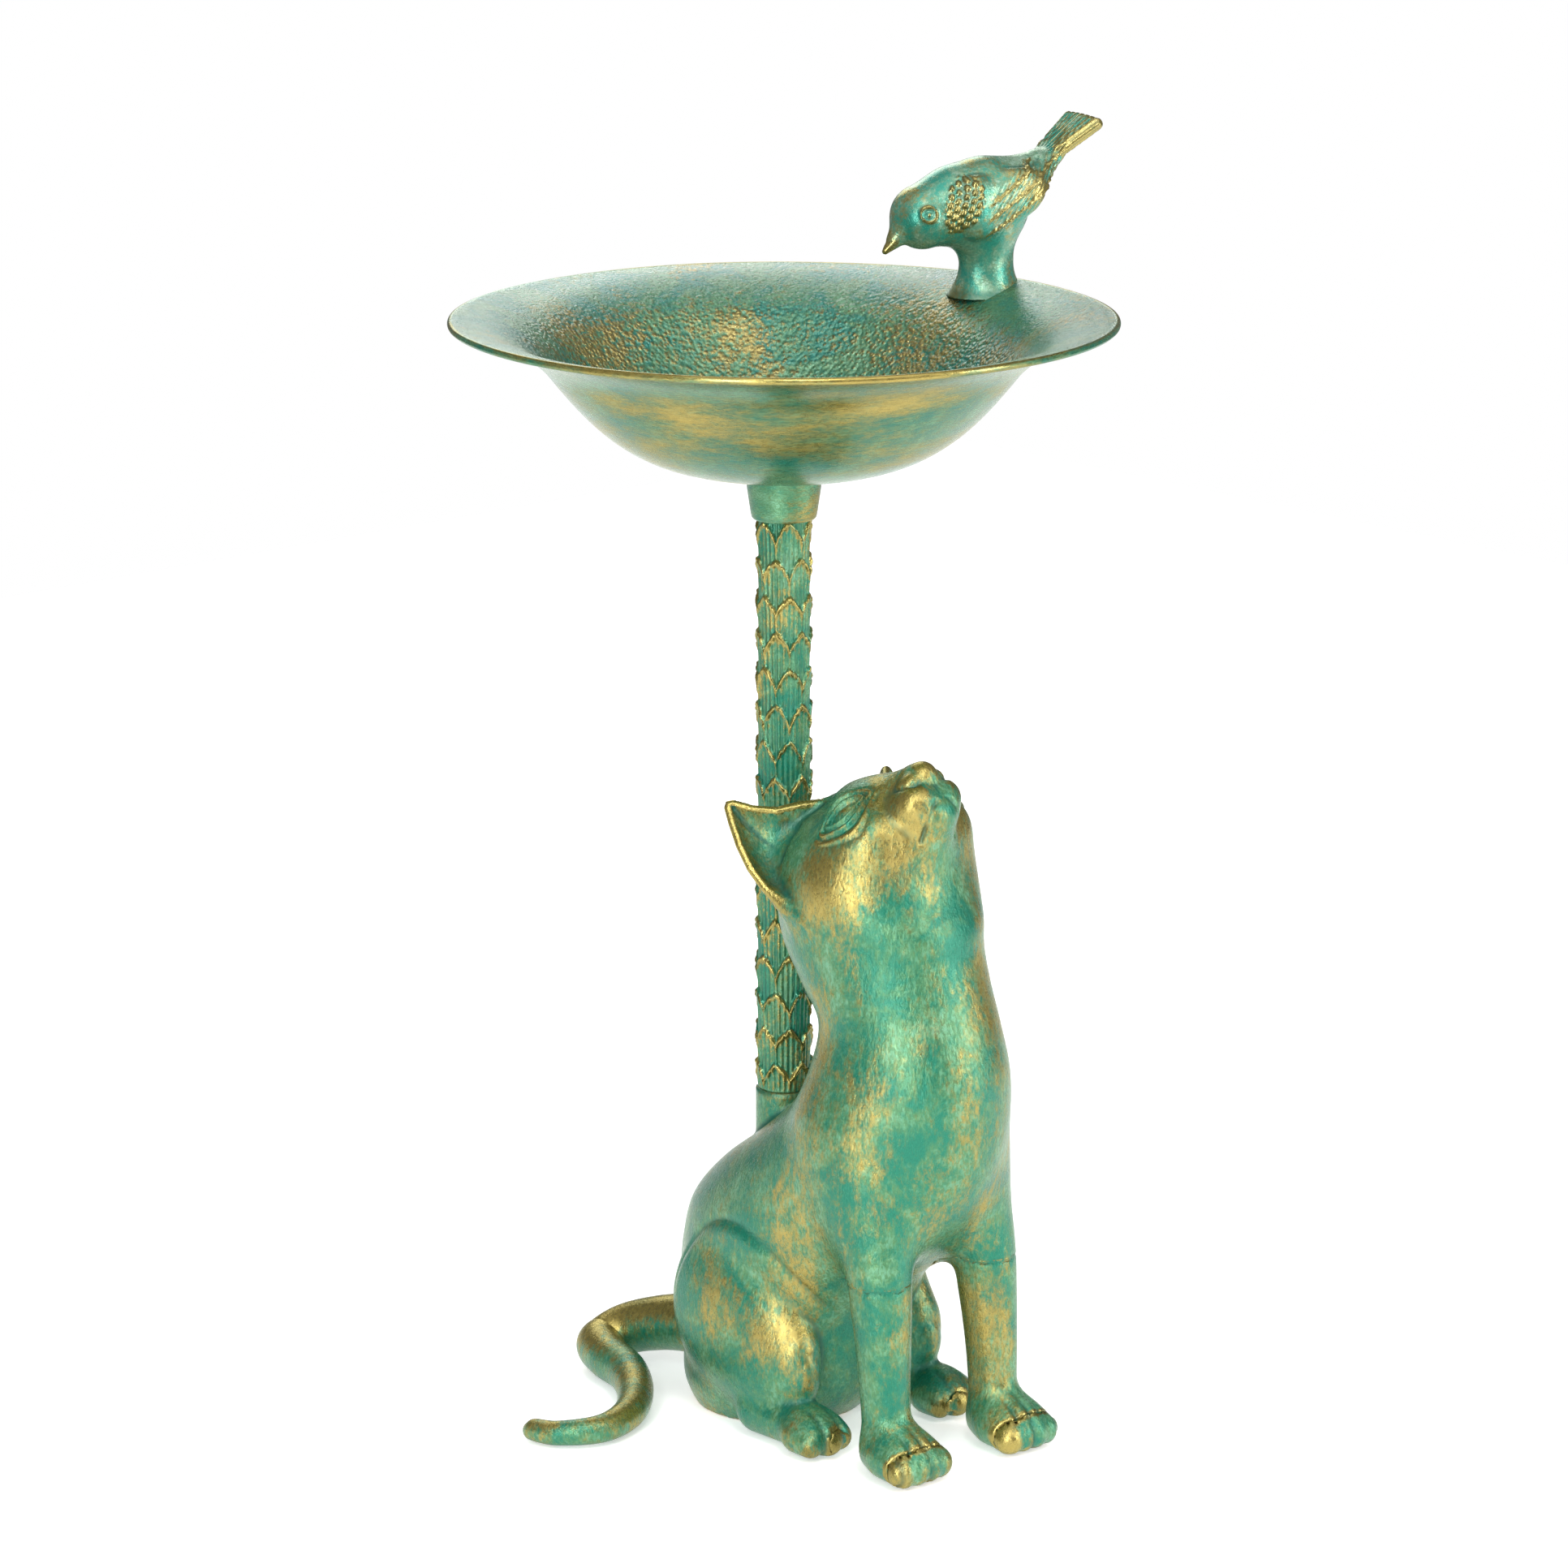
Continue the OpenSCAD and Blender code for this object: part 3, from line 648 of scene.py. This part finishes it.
def rounded_path(points, count):
    """A smooth curve through points (cubic through each four in turn), at even steps along its length."""
    p = np.asarray(points, float)
    p = np.vstack([2 * p[0] - p[1], p, 2 * p[-1] - p[-2]])
    s = np.linspace(0, len(points) - 1, count * 8)
    i = np.minimum(s.astype(int), len(points) - 2)
    t = (s - i)[:, None]
    a, b, c, d = p[i], p[i + 1], p[i + 2], p[i + 3]
    q = 0.5 * (2 * b + (c - a) * t + (2 * a - 5 * b + 4 * c - d) * t**2 + (3 * b - a - 3 * c + d) * t**3)
    run = np.concatenate([[0], np.cumsum(np.linalg.norm(np.diff(q, axis=0), axis=1))])
    return np.stack([np.interp(np.linspace(0, run[-1], count), run, q[:, k]) for k in range(3)], 1), run[-1]


def grid_faces(rows, columns, closed=True):
    """Quads of a grid of rows by columns, whose last column meets its first if it is closed."""
    r = np.arange(rows - 1)[:, None] * columns
    c = np.arange(columns if closed else columns - 1)
    n = (c + 1) % columns
    return np.stack([r + c, r + n, r + columns + n, r + columns + c], -1).reshape(-1, 4)


def end_cap(first, columns, flip=False):
    """One many-sided face over a ring of points that starts at first."""
    ring = list(range(first, first + columns))
    return ring[::-1] if flip else ring


tail_steps, tail_sides = 240, 56
tail_line, tail_length = rounded_path([
    [-8, 47, 27], [-15, 70, 23], [-24, 88, 17], [-37, 91, 11], [-46, 75, 9.5], [-52, 54, 9], [-66, 32, 8.8],
    [-86, 14, 8.5], [-107, 8, 7.8], [-124, 19, 6.6], [-130, 37.5, 5],
], tail_steps)
run = np.linspace(0, 1, tail_steps)
tail_radius = 5.2 + 9.3 * (1 - run) ** 1.1 + 3.0 * np.exp(-run * tail_length / 4)
tail_radius *= np.sqrt(np.clip(1 - ((run - 0.965) / 0.0352).clip(0, 1) ** 2, 0.0004, 1))
tail_line[:, 2] = np.maximum(tail_line[:, 2], tail_radius + 0.6)
heading = np.gradient(tail_line, axis=0)
heading /= np.linalg.norm(heading, axis=1)[:, None]
across = np.cross(heading, [0, 0, 1])
across /= np.linalg.norm(across, axis=1)[:, None]
over = np.cross(across, heading)
turn = np.linspace(0, 2 * np.pi, tail_sides, endpoint=False)
ring = across[:, None] * np.cos(turn)[None, :, None] + over[:, None] * np.sin(turn)[None, :, None]
tail_points = (tail_line[:, None] + ring * tail_radius[:, None, None]).reshape(-1, 3)
tail_points[:, 2] = np.maximum(tail_points[:, 2], 0.05)
tail_faces = grid_faces(tail_steps, tail_sides)[:, ::-1].tolist()
tail_faces += [end_cap(0, tail_sides), end_cap((tail_steps - 1) * tail_sides, tail_sides, True)]
crown = unit(ring[..., 2] + 0.2) ** 2 * (0.12 + 0.38 * unit(1 - run[:, None] / 0.45))
# The lower part of the tail's round, facing the ground, is painted darker green: painted shade.
put(
    "tail_casting", tail_points, tail_faces, cast_patina, "stand", "tail",
    {"rub_and_sheen": crown.ravel(), "pit_and_shade": (unit(-ring[..., 2] - 0.3) * 0.6).ravel()},
)

# ---------------------------------------------------------------- fixings inside
# A turned bush is pressed into the back of the cat. The tie rod screws into it and carries the column between
# two turned plugs. They are zinc-plated steel: bright grey with a faint yellow cast and turning marks.


def plated_steel(name, colour="#b9b8ae"):
    """Zinc plate over turned steel: rings a fifth of a millimetre apart, drawn at half a millimetre so that they
    show, which give a dull sheen that runs round the piece."""
    material, t = blank(name)
    place = add(t, "ShaderNodeTexCoord", out="Object")
    rings = add(t, "ShaderNodeMapping", {"Vector": place, "Scale": (150, 150, 2000)})
    marks = add(t, "ShaderNodeTexNoise", {"Vector": rings, "Scale": 1.0, "Detail": 3})
    stain = add(t, "ShaderNodeTexNoise", {"Vector": place, "Scale": 90.0, "Detail": 4})
    tint = add(t, "ShaderNodeMix", {"Factor": stain, "A": linear(colour), "B": linear("#8f8d84")}, data_type="RGBA")
    gloss = add(t, "ShaderNodeMapRange", {"Value": marks, "To Min": 0.26, "To Max": 0.44})
    bump = add(t, "ShaderNodeBump", {"Strength": 0.5, "Distance": 0.00005, "Height": marks})
    plated = {"Base Color": tint, "Metallic": 1.0, "Roughness": gloss, "Normal": bump}
    plate = add(t, "ShaderNodeBsdfPrincipled", plated)
    add(t, "ShaderNodeOutputMaterial", {"Surface": plate})
    return material


def finish_node(node, material):
    """Gives a piece that keeps its CAD shape its real finish."""
    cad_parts[node].data.materials.clear()
    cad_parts[node].data.materials.append(material)


zinc_plate = plated_steel("turned_steel_zinc_plated")
for name in ("socket_bush", "column_bottom_plug", "column_top_plug", "bird_washers"):
    finish_node(name, zinc_plate)


def span_of(node):
    """Lowest and highest level of a CAD node, in mm."""
    low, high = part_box(node)
    return low[2] * 1000, high[2] * 1000


def threaded_bar(low, high, radius, pitch, depth, around=28, per_turn=8):
    """A bar whose radius falls and rises once a pitch as it winds up, with chamfered ends, closed by flat faces."""
    heights = np.arange(low, high, pitch / per_turn)
    z = np.concatenate([[low], heights, [high]])[:, None]
    angle = np.linspace(0, 2 * np.pi, around, endpoint=False)[None]
    wave = np.abs(((z - low) / pitch - angle / (2 * np.pi)) % 1 * 2 - 1)
    r = radius - depth * (1 - wave)
    r = np.minimum(r, radius - 1.2 + np.minimum(z - low, high - z))
    p = np.stack([r * np.cos(angle), r * np.sin(angle), z + 0 * angle], -1)
    ends = [end_cap(0, around, True), end_cap((len(z) - 1) * around, around)]
    return p.reshape(-1, 3), grid_faces(len(z), around).tolist() + ends


rod_low, rod_high = span_of("tie_rod")
rod_points, rod_faces = threaded_bar(rod_low, rod_high, radius=4.98, pitch=1.5, depth=0.85)
put("tie_rod_threaded", rod_points, rod_faces, zinc_plate, "stand", "tie_rod")

# ---------------------------------------------------------------- column
# A cast tube with sixteen rows of pointed leaves, six to a row, each row turned half a leaf from the last.
# Leaves are fluted, and their raised chevron tips stand over the foot of the row above, where the gold catches.
# The foot of each leaf, just over the tips of the row below, is painted darker green as shade.

column_low, column_high = span_of("column")
rows_of_leaves, leaves = 16, 6
leaf_pitch = (column_high - column_low) / rows_of_leaves


def leaf_relief(angle, z):
    """Height of the leaves over the tube in mm, and how far it is gold or dark: dark green in the flutes' grooves, and
    painted shade at the foot of each leaf, over the tips of the row below. The lowest leaf that covers a point is the
    one that shows. Its height is a lean outward to its tip, a lumpy rim along its edge, and flutes."""
    top_height = np.zeros_like(z + angle)
    gold, dark_and_shade = top_height.copy(), top_height.copy()
    taken = np.zeros(top_height.shape, bool)
    for row in range(-1, rows_of_leaves + 1):
        phase = (angle / (2 * np.pi) * leaves + 0.5 * (row % 2)) % 1
        off = np.abs(phase * 2 - 1)
        wander = 0.55 * np.sin(angle * 5 + row * 2.1) + 0.4 * np.sin(angle * 11 + row * 4.7)
        edge = wander + column_low + (row + 0.40) * leaf_pitch + leaf_pitch * 0.46 * (1 - off**1.35)
        edge = edge - 1.6 * ridge(off, 1, 0.10)
        below = edge - z
        here = (below > 0) & ~taken
        lean = unit(1 - below / (leaf_pitch * 1.15))
        lump = 0.7 + 0.3 * np.sin(angle * 23 + row * 1.7 + 2 * np.sin(angle * 9 + row))
        rim = ridge(below * 0.7, 1.25, 1.05) * lump
        flute = 0.5 + 0.5 * np.cos(phase * 2 * np.pi * 5)
        fluted = unit((below - 2.6) / 1.5)
        h = 0.05 + 0.70 * lean**1.3 + 1.1 * rim - 0.60 * (1 - flute) * fluted
        h = h + 0.25 * ridge(off, 0, 0.12) * unit(1 - below / 7)
        h = h * np.clip(below / 0.5, 0.35, 1)
        top_height = np.where(here, h, top_height)
        gold = np.where(here, 0.8 * rim + 0.25 * flute * fluted * lean, gold)
        # Dark: the grooves between the flutes, and painted shade over the foot of each leaf, where the row below stands
        # out over it.
        dark_and_shade = np.where(here, (1 - flute) * fluted * 0.30 + 0.22 * unit((below - leaf_pitch * 0.72) / 3), dark_and_shade)
        taken |= here
    return top_height, gold, dark_and_shade


column_sides, column_steps, column_bore = 192, 478, 8.5
column_z = np.linspace(column_low + 0.02, column_high - 0.02, column_steps)[:, None]
column_angle = np.linspace(0, 2 * np.pi, column_sides, endpoint=False)[None]
leaf_height, leaf_gold, leaf_dark_and_shade = leaf_relief(column_angle, column_z)
taper = unit((column_z - column_low) / (column_high - column_low))
tube_radius = (13.1 + (12.5 - 13.1) * taper) - 0.9
ends = unit(np.minimum(column_z - column_low, column_high - column_z) / 1.6)
column_radius = np.concatenate([tube_radius + leaf_height * ends, np.full((2, column_sides), column_bore)])
column_z = np.concatenate([column_z, [[column_high], [column_low]]]) + 0 * column_angle
column_points = [column_radius * np.cos(column_angle), column_radius * np.sin(column_angle), column_z]
column_points = np.stack(column_points, -1).reshape(-1, 3)
column_faces = grid_faces(column_steps + 2, column_sides).tolist()
last, n = (column_steps + 1) * column_sides, column_sides
column_faces += [[last + k, last + (k + 1) % n, (k + 1) % n, k] for k in range(n)]
plain_bore = np.zeros((2, column_sides))
column_patina = verdigris(
    "cast_tube_verdigris_and_gold", blotch=26, bare=-0.06, stroke=(1.3, 1.3, 0.9), rub_and_sheen_gain=0.85, speckle=0.8,
)
put(
    "column_leafy_tube", column_points, column_faces, column_patina, "stand", "column",
    {"rub_and_sheen": np.concatenate([leaf_gold, plain_bore]).ravel(), "pit_and_shade": np.concatenate([leaf_dark_and_shade, plain_bore]).ravel()},
)

# ---------------------------------------------------------------- collar and rubber washer
# The collar is a turned aluminium ring, painted like the column, that sits on the column's end and carries the bowl.
# A soft rubber washer under the bowl keeps water off the thread.

cz, ct = span_of("collar")
collar_outline = [
    (5.4, cz), (13.9, cz), (14.4, cz + 0.1), (14.9, cz + 0.7), (15.1, cz + 1.2), (15.5, cz + 3), (17.9, ct - 2.5),
    (18.45, ct - 0.9), (18.5, ct - 0.5), (18.3, ct - 0.1), (17.9, ct), (13.0, ct), (5.4, ct),
]
collar_sides = 96


def smoothed(outline):
    """Five points for each one of an outline, with its corners eased a little: a quarter of each neighbour."""
    p = np.asarray(outline, float)
    s = np.linspace(0, len(p) - 1, (len(p) - 1) * 5 + 1)
    i = np.minimum(s.astype(int), len(p) - 2)
    q = p[i] + (s - i)[:, None] * (p[i + 1] - p[i])
    q[1:-1] = 0.25 * q[:-2] + 0.5 * q[1:-1] + 0.25 * q[2:]
    return q


def turned_ring(outline, count):
    """An outline of (radius, height) points, walked up the outside and down the bore, carried round the axis and
    closed."""
    angle = np.linspace(0, 2 * np.pi, count, endpoint=False)[None]
    r, z = outline[:, :1], outline[:, 1:]
    p = np.stack([r * np.cos(angle), r * np.sin(angle), z + 0 * angle], -1)
    last, here = (len(outline) - 1) * count, np.arange(count)
    beside = (here + 1) % count
    closing = np.stack([last + here, last + beside, beside, here], 1)
    return p.reshape(-1, 3), np.concatenate([grid_faces(len(outline), count), closing])


collar_line = smoothed(collar_outline)
collar_points, collar_faces = turned_ring(collar_line, collar_sides)
collar_r, collar_z = collar_line[:, :1], collar_line[:, 1:]
collar_angle = np.linspace(0, 2 * np.pi, collar_sides, endpoint=False)[None]
collar_edge = ridge(collar_z, ct - 1.0, 0.9) * (collar_r > 17) + 0 * collar_angle
# One side of the collar, toward +X and -Y, gets more gold: a painted reflection of the light on that side.
collar_lit_side_sheen = 0.5 + 0.5 * np.tanh(5 * np.sin(collar_angle + 2.35)) + 0 * collar_r
collar_pit = 0.4 * ridge(collar_z, cz + 1.4, 1.2) + 0 * collar_lit_side_sheen
collar_patina = verdigris("turned_collar_verdigris_and_gold", blotch=24, bare=0.0, stroke=(1, 1, 3), speckle=0.6)
put(
    "collar_ring_turned", collar_points, collar_faces, collar_patina, "collar_ring", "collar",
    {"rub_and_sheen": (collar_edge * 0.5 + collar_lit_side_sheen * 0.20).ravel(), "pit_and_shade": collar_pit.ravel()},
)

washer_rubber, t = blank("black_rubber_moulded")
place = add(t, "ShaderNodeTexCoord", out="Object")
bloom = add(t, "ShaderNodeTexNoise", {"Vector": place, "Scale": 700.0, "Detail": 4})
tint = add(t, "ShaderNodeMix", {"Factor": bloom, "A": linear("#17181a"), "B": linear("#2b2c2e")}, data_type="RGBA")
rubber = add(t, "ShaderNodeBsdfPrincipled", {"Base Color": tint, "Roughness": 0.7, "IOR": 1.52})
add(t, "ShaderNodeOutputMaterial", {"Surface": rubber})
finish_node("seal_washer", washer_rubber)

# ---------------------------------------------------------------- bowl
# A shallow cast aluminium bowl, 305 mm across, with a flared lip and a threaded boss that screws onto the tie rod.
# Outside it is brushed and wiped round. Inside it is stippled, gold over teal, under a glossier lacquer.

bowl_foot, bowl_radius, bowl_depth, brim, bowl_wall = 450.0, 152.5, 68.5, 44.5, 3.2


def bezier(points, count):
    """A cubic curve with its ends and handles given."""
    t = np.linspace(0, 1, count)[:, None]
    a, b, c, d = np.asarray(points, float)
    return a * (1 - t) ** 3 + 3 * b * t * (1 - t) ** 2 + 3 * c * t**2 * (1 - t) + d * t**3


wall_way = np.array([0.616, 0.788])
wall_at = np.array([108.0, 46.44])
lower = bezier([(20, 0), (64.9, 0), wall_at - 0.82 * 46.44 * wall_way, wall_at], 70)
upper = bezier([
    wall_at, wall_at + 0.36 * brim * wall_way, (bowl_radius - 0.4 * brim, bowl_depth - 0.06 * brim),
    (bowl_radius, bowl_depth),
], 46)
under = np.concatenate([lower, upper[1:]])
way = np.gradient(under, axis=0)
way /= np.linalg.norm(way, axis=1)[:, None]
inside = under + bowl_wall * np.stack([-way[:, 1], way[:, 0]], 1)
inside = inside[inside[:, 0] > 16]
half_turn = np.linspace(-np.pi / 2 + 0.1, np.pi / 2 - 0.02, 11)
lip_middle = (under[-1] + inside[-1]) / 2
lip_way, lip_up = way[-1], (inside[-1] - under[-1]) / 2
lip = lip_middle + np.cos(half_turn)[:, None] * lip_way * 1.7 + np.sin(half_turn)[:, None] * lip_up * 1.12
boss = [(5.3, -17.3), (8.6, -17.3), (9.1, -16.8), (9.2, -1.2), (10.2, -0.2), (12, 0)]
well = np.stack([np.linspace(18, 0.6, 12), np.full(12, bowl_wall)], 1)
bowl_line = np.concatenate([[(0.4, -17.3)], boss, under, lip[1:-1], inside[::-1], well, [(0.05, bowl_wall)]])
bowl_line[:, 1] += bowl_foot
count = 288
angle = np.linspace(0, 2 * np.pi, count, endpoint=False)[None]
r, z = bowl_line[:, :1], bowl_line[:, 1:]
seed = np.random.default_rng(7)
hand = sum(np.cos(k * angle + a) * b for k, a, b in zip((3, 5, 7), seed.uniform(0, 6.28, 3), (0.16, 0.1, 0.07)))
sway = unit((r - 60) / 90)
points = np.stack([r * np.cos(angle), r * np.sin(angle), z + hand * sway], -1)
bowl_faces = grid_faces(len(bowl_line), count).tolist()
bowl_faces += [end_cap(0, count, True), end_cap((len(bowl_line) - 1) * count, count)]
row, lip_row = np.arange(len(bowl_line))[:, None], 1 + len(boss) + len(under)
is_inside = row >= lip_row + len(lip) - 2
is_lip = (row >= lip_row) & ~is_inside
near_edge = ridge(r, 153, 2.2)
past_lip = is_lip * (row > lip_row + 5)
bowl_rub = np.where(is_inside, 0.25 * unit((122 - r) / 12), 0.26) + 0.45 * past_lip + 0.3 * near_edge * ~is_lip
bowl_pit = np.where(is_inside, 0.16 * ridge(r, 0, 50), 0.35 * ridge(r, 16, 9))
bowl_patina = verdigris(
    "cast_bowl_outside_brushed", blotch=26, bare=0.01, stroke=(0.35, 0.35, 1.6), grain_depth=0.12, rub_and_sheen_gain=0.25,
    speckle=0.3, teal="#136552", moss="#446f4c", pale="#589478",
)
basin_patina = verdigris(
    "cast_bowl_inside_stippled", blotch=26, bare=-0.03, grain_depth=0.6, rub_and_sheen_gain=0.3, lacquer=1.0, teal="#16786a",
)
bowl = put(
    "bowl_casting", points.reshape(-1, 3), bowl_faces, bowl_patina, "bowl_and_bird", "bowl",
    {"rub_and_sheen": (bowl_rub + 0 * angle).ravel(), "pit_and_shade": (bowl_pit + 0 * angle).ravel(),
     "stipple": (is_inside * unit((128 - r) / 18) + 0 * angle).ravel()},
)
bowl.data.materials.append(basin_patina)
inner_rows = np.repeat(is_inside[:-1, 0], count)
bowl.data.polygons.foreach_set("material_index", np.concatenate([inner_rows, [False, True]]).astype(np.int32))

# ---------------------------------------------------------------- bird
# A small finch, cast solid with its post and drilled and tapped from below. It perches on the lip, facing the bowl.
# Its shoulders are beaded, its wings barbed and banded and its tail ribbed, all chased before the paint. Two screws,
# zinc-plated, come up through the lip and hold it.

bird_heading, perch_way, perch_radius, perch_level = np.radians(167), np.radians(5), 140, 519.0
bird_foot = np.float32([perch_radius * np.cos(perch_way), perch_radius * np.sin(perch_way), perch_level])
ahead, aside = np.cos(bird_heading), np.sin(bird_heading)
bird_turn = np.float32([[ahead, aside, 0], [-aside, ahead, 0], [0, 0, 1]])


def finch(p):
    """The bird in its own axes: toward the beak, to its left, and up."""
    m = np.stack([p[:, 0], np.abs(p[:, 1]), p[:, 2]], 1).astype(np.float32)
    d = blend(egg(m, (5, 0, 39), (25, 19, 22)), egg(m, (20, 0, 39), (16, 14, 17)), 6)
    d = blend(d, limb(m, (20, 0, 40), (35, 0, 35.5), 16, 15.4), 6)
    d = blend(d, limb(m, (-6, 0, 44), (-26, 0, 55), 17, 7.5), 7)
    d = blend(d, limb(m, (44, 0, 31.5), (55, 0, 20.5), 7.4, 1.5), 3)
    q = m - np.float32((-24, 0, 54))
    way = np.float32((-28, 0, 21)) / 35
    up = np.float32((21, 0, 28)) / 35
    s, w = q @ way, q @ up
    half = 6 + 9.5 * np.clip(s / 35, 0, 1.1)
    past_side, past_tip, before = (np.clip(v, 0, 99) for v in (m[:, 1] - half + 2.4, s - 35, -s - 4))
    fan = np.sqrt(past_side**2 + (w + 0.004 * m[:, 1] ** 2) ** 2 + past_tip**2 + before**2) - 2.5
    d = blend(d, fan, 5)
    wing = blend(egg(m, (13, 14, 40), (10, 6, 15)), egg(m, (-8, 13.5, 45), (15, 5.5, 12)), 5)
    wing = blend(wing, limb(m, (-16, 11, 48), (-38, 4, 61), 6.5, 2.2), 5)
    d = blend(d, wing, 2.5)
    post = np.hypot(m[:, 0] / 1.2, m[:, 1]) - (11.2 + 4.4 * np.clip((11 - m[:, 2]) / 14, 0, 1.1) ** 2)
    post = np.maximum(np.maximum(post, m[:, 2] - 26), -4.4 - m[:, 2])
    return blend(d, post, 8)


def plumage(p):
    """Feather detail as a height in mm: the eye, beads on the shoulder in rows half a bead apart, barbs and bands on
    the wing, ribs down the tail, and the beak's gape."""
    m = np.stack([p[:, 0], np.abs(p[:, 1]), p[:, 2]], 1)
    x, y, z = m.T
    eye = np.sqrt((x - 39.5) ** 2 + (z - 38.5) ** 2)
    on_side = unit((y - 5) / 4)
    h = (1.0 * ridge(eye, 3.4, 0.8) - 0.8 * ridge(eye, 2.1, 0.7) + 0.8 * ridge(eye, 0, 1.2)) * on_side
    u, v = x - 22 + 0.25 * (z - 42), z - 42
    row = np.round(u / 3.3)
    across = (v / 3.8 + 0.5 * (row % 2) + 0.5) % 1 - 0.5
    beads = np.sqrt(unit(1 - ((u - row * 3.3) / 1.75) ** 2 - (across * 3.8 / 1.95) ** 2))
    shoulder = unit((1 - (u / 9.5) ** 2 - (v / 14) ** 2) * 5) * unit((y - 6) / 4)
    h = h + shoulder * (1.8 * beads - 0.6)
    back = unit((11 - x) / 5) * unit((y - 4) / 4)
    lie = (z - 44) + (x + 8) * 0.62
    across_lie = (x + 8) - (z - 44) * 0.62
    barbs = 0.38 * np.sin(2 * np.pi * (lie * 0.75 + 0.28 * across_lie) / 2.0)
    scallop = 0.7 * np.abs(np.sin(across_lie * 0.75))
    bands = 1.5 * sum(ridge(lie - scallop, at, 0.8) for at in (7.5, 0.5, -7))
    wing = back * unit((13 - np.abs(lie)) / 3) * unit((x + 40) / 4)
    h = h + wing * (barbs + bands)
    tail = unit((-30 - x) / 5)
    h = h + tail * 0.6 * np.cos(2 * np.pi * y / np.maximum(2.2 + 0.09 * (-30 - x), 1.2))
    h = h - 0.5 * ridge(scribe(m, [(60, 0, 22), (52, 2, 25.5), (45, 6.5, 30)]), 0, 0.8)
    return h


bird_step = 0.85
axes = [levels(-64, 60, bird_step), levels(-25, 25, bird_step), levels(-7, 86, bird_step)]
bird_points, bird_faces = skin(finch, axes)
bird_points = settle(finch, bird_points)
bird_normals = normals_of(finch, bird_points)
bird_relief = plumage(bird_points)
bird_bend = bend_of(bird_points, bird_normals, bird_faces)
bird_marks = {
    "rub_and_sheen": worn(bird_bend, 1.6 * bird_relief, 0.5) * unit((bird_points[:, 2] + 2) / 3),
    "pit_and_shade": sunk(bird_bend, 1.3 * bird_relief) * 0.9 + np.clip((1 - bird_points[:, 2]) / 4, 0, 0.6),
}
bird_points = bird_points + bird_normals * bird_relief[:, None]
bird_points = bird_points @ bird_turn + bird_foot
bird_patina = verdigris(
    "cast_finch_verdigris_and_gold", blotch=18, bare=0.0, rub_and_sheen_gain=0.75, speckle=0.5, teal="#2f8c7a", moss="#74987a",
    pale="#b4d2c2",
)
put("bird_casting", bird_points, bird_faces, bird_patina, "bowl_and_bird", "bird", bird_marks)
finish_node("bird_screws", plated_steel("screws_zinc_plated", "#c3c2b8"))

# ---------------------------------------------------------------- studio
# A white paper sheet that glows a little, so it stays white, and soft lights: a tall window on each side, one over the
# bowl, one behind for the edges, and a broad dim ceiling.

sheet_half, under_foot = 1.7, -0.0003
floor_mesh = bpy.data.meshes.new("studio_floor")
corners = [(sheet_half * x, sheet_half * y, under_foot) for x, y in ((-1, -1), (1, -1), (1, 1), (-1, 1))]
floor_mesh.from_pydata(corners, [], [(0, 1, 2, 3)])
floor = bpy.data.objects.new("studio_floor", floor_mesh)
bpy.context.scene.collection.objects.link(floor)
paper, t = blank("matt_white_paper")
place = add(t, "ShaderNodeTexCoord", out="Object")
tooth = add(t, "ShaderNodeTexNoise", {"Vector": place, "Scale": 60.0, "Detail": 3})
tone = add(t, "ShaderNodeMix", {"Factor": tooth, "A": linear("#f7f7f6"), "B": linear("#fbfbfa")}, data_type="RGBA")
glow = {"Emission Color": linear("#ffffff"), "Emission Strength": 0.42}
sheet = add(t, "ShaderNodeBsdfPrincipled", {"Base Color": tone, "Roughness": 0.95, **glow})
add(t, "ShaderNodeOutputMaterial", {"Surface": sheet})
floor_mesh.materials.append(paper)

world = bpy.data.worlds.new("studio")
bpy.context.scene.world = world
world.use_nodes = True
sky = world.node_tree
paper_white = add(sky, "ShaderNodeBackground", {"Color": linear("#ffffff"), "Strength": 1.0})
dim_room = sky.nodes["Background"]
dim_room.inputs["Color"].default_value = linear("#f4f6f8")
dim_room.inputs["Strength"].default_value = 0.28
seen = add(sky, "ShaderNodeLightPath", out="Is Camera Ray")
both = add(sky, "ShaderNodeMixShader", {0: seen, 1: dim_room.outputs[0], 2: paper_white})
sky.links.new(both, sky.nodes["World Output"].inputs["Surface"])


def soft_window(name, place, aim, size, watts):
    """A white rectangular soft box at place that faces aim."""
    lamp = bpy.data.lights.new(name, "AREA")
    lamp.shape = "RECTANGLE"
    lamp.size, lamp.size_y = size
    lamp.energy = watts
    box = bpy.data.objects.new(name, lamp)
    box.location = place
    box.rotation_euler = (Vector(aim) - Vector(place)).to_track_quat("-Z", "Y").to_euler()
    bpy.context.scene.collection.objects.link(box)


soft_window("left_window", (-1.7, -1.0, 0.75), (0, -0.05, 0.30), (0.26, 1.5), 30)
soft_window("right_window", (1.0, -1.9, 0.8), (0, -0.05, 0.30), (0.36, 1.6), 30)
soft_window("over_the_bowl", (-0.9, -1.3, 2.1), (0, 0, 0.5), (0.5, 0.5), 12)
soft_window("back_edge", (0.9, 1.5, 1.3), (0, 0, 0.3), (1.0, 1.0), 12)
ceiling = bpy.data.objects.new("bright_ceiling", bpy.data.lights.new("bright_ceiling", "SUN"))
ceiling.data.energy = 1.4
ceiling.data.angle = np.radians(70)
ceiling.rotation_euler = (np.radians(24), np.radians(-14), 0)
bpy.context.scene.collection.objects.link(ceiling)
bpy.context.scene.view_settings.view_transform = "Standard"
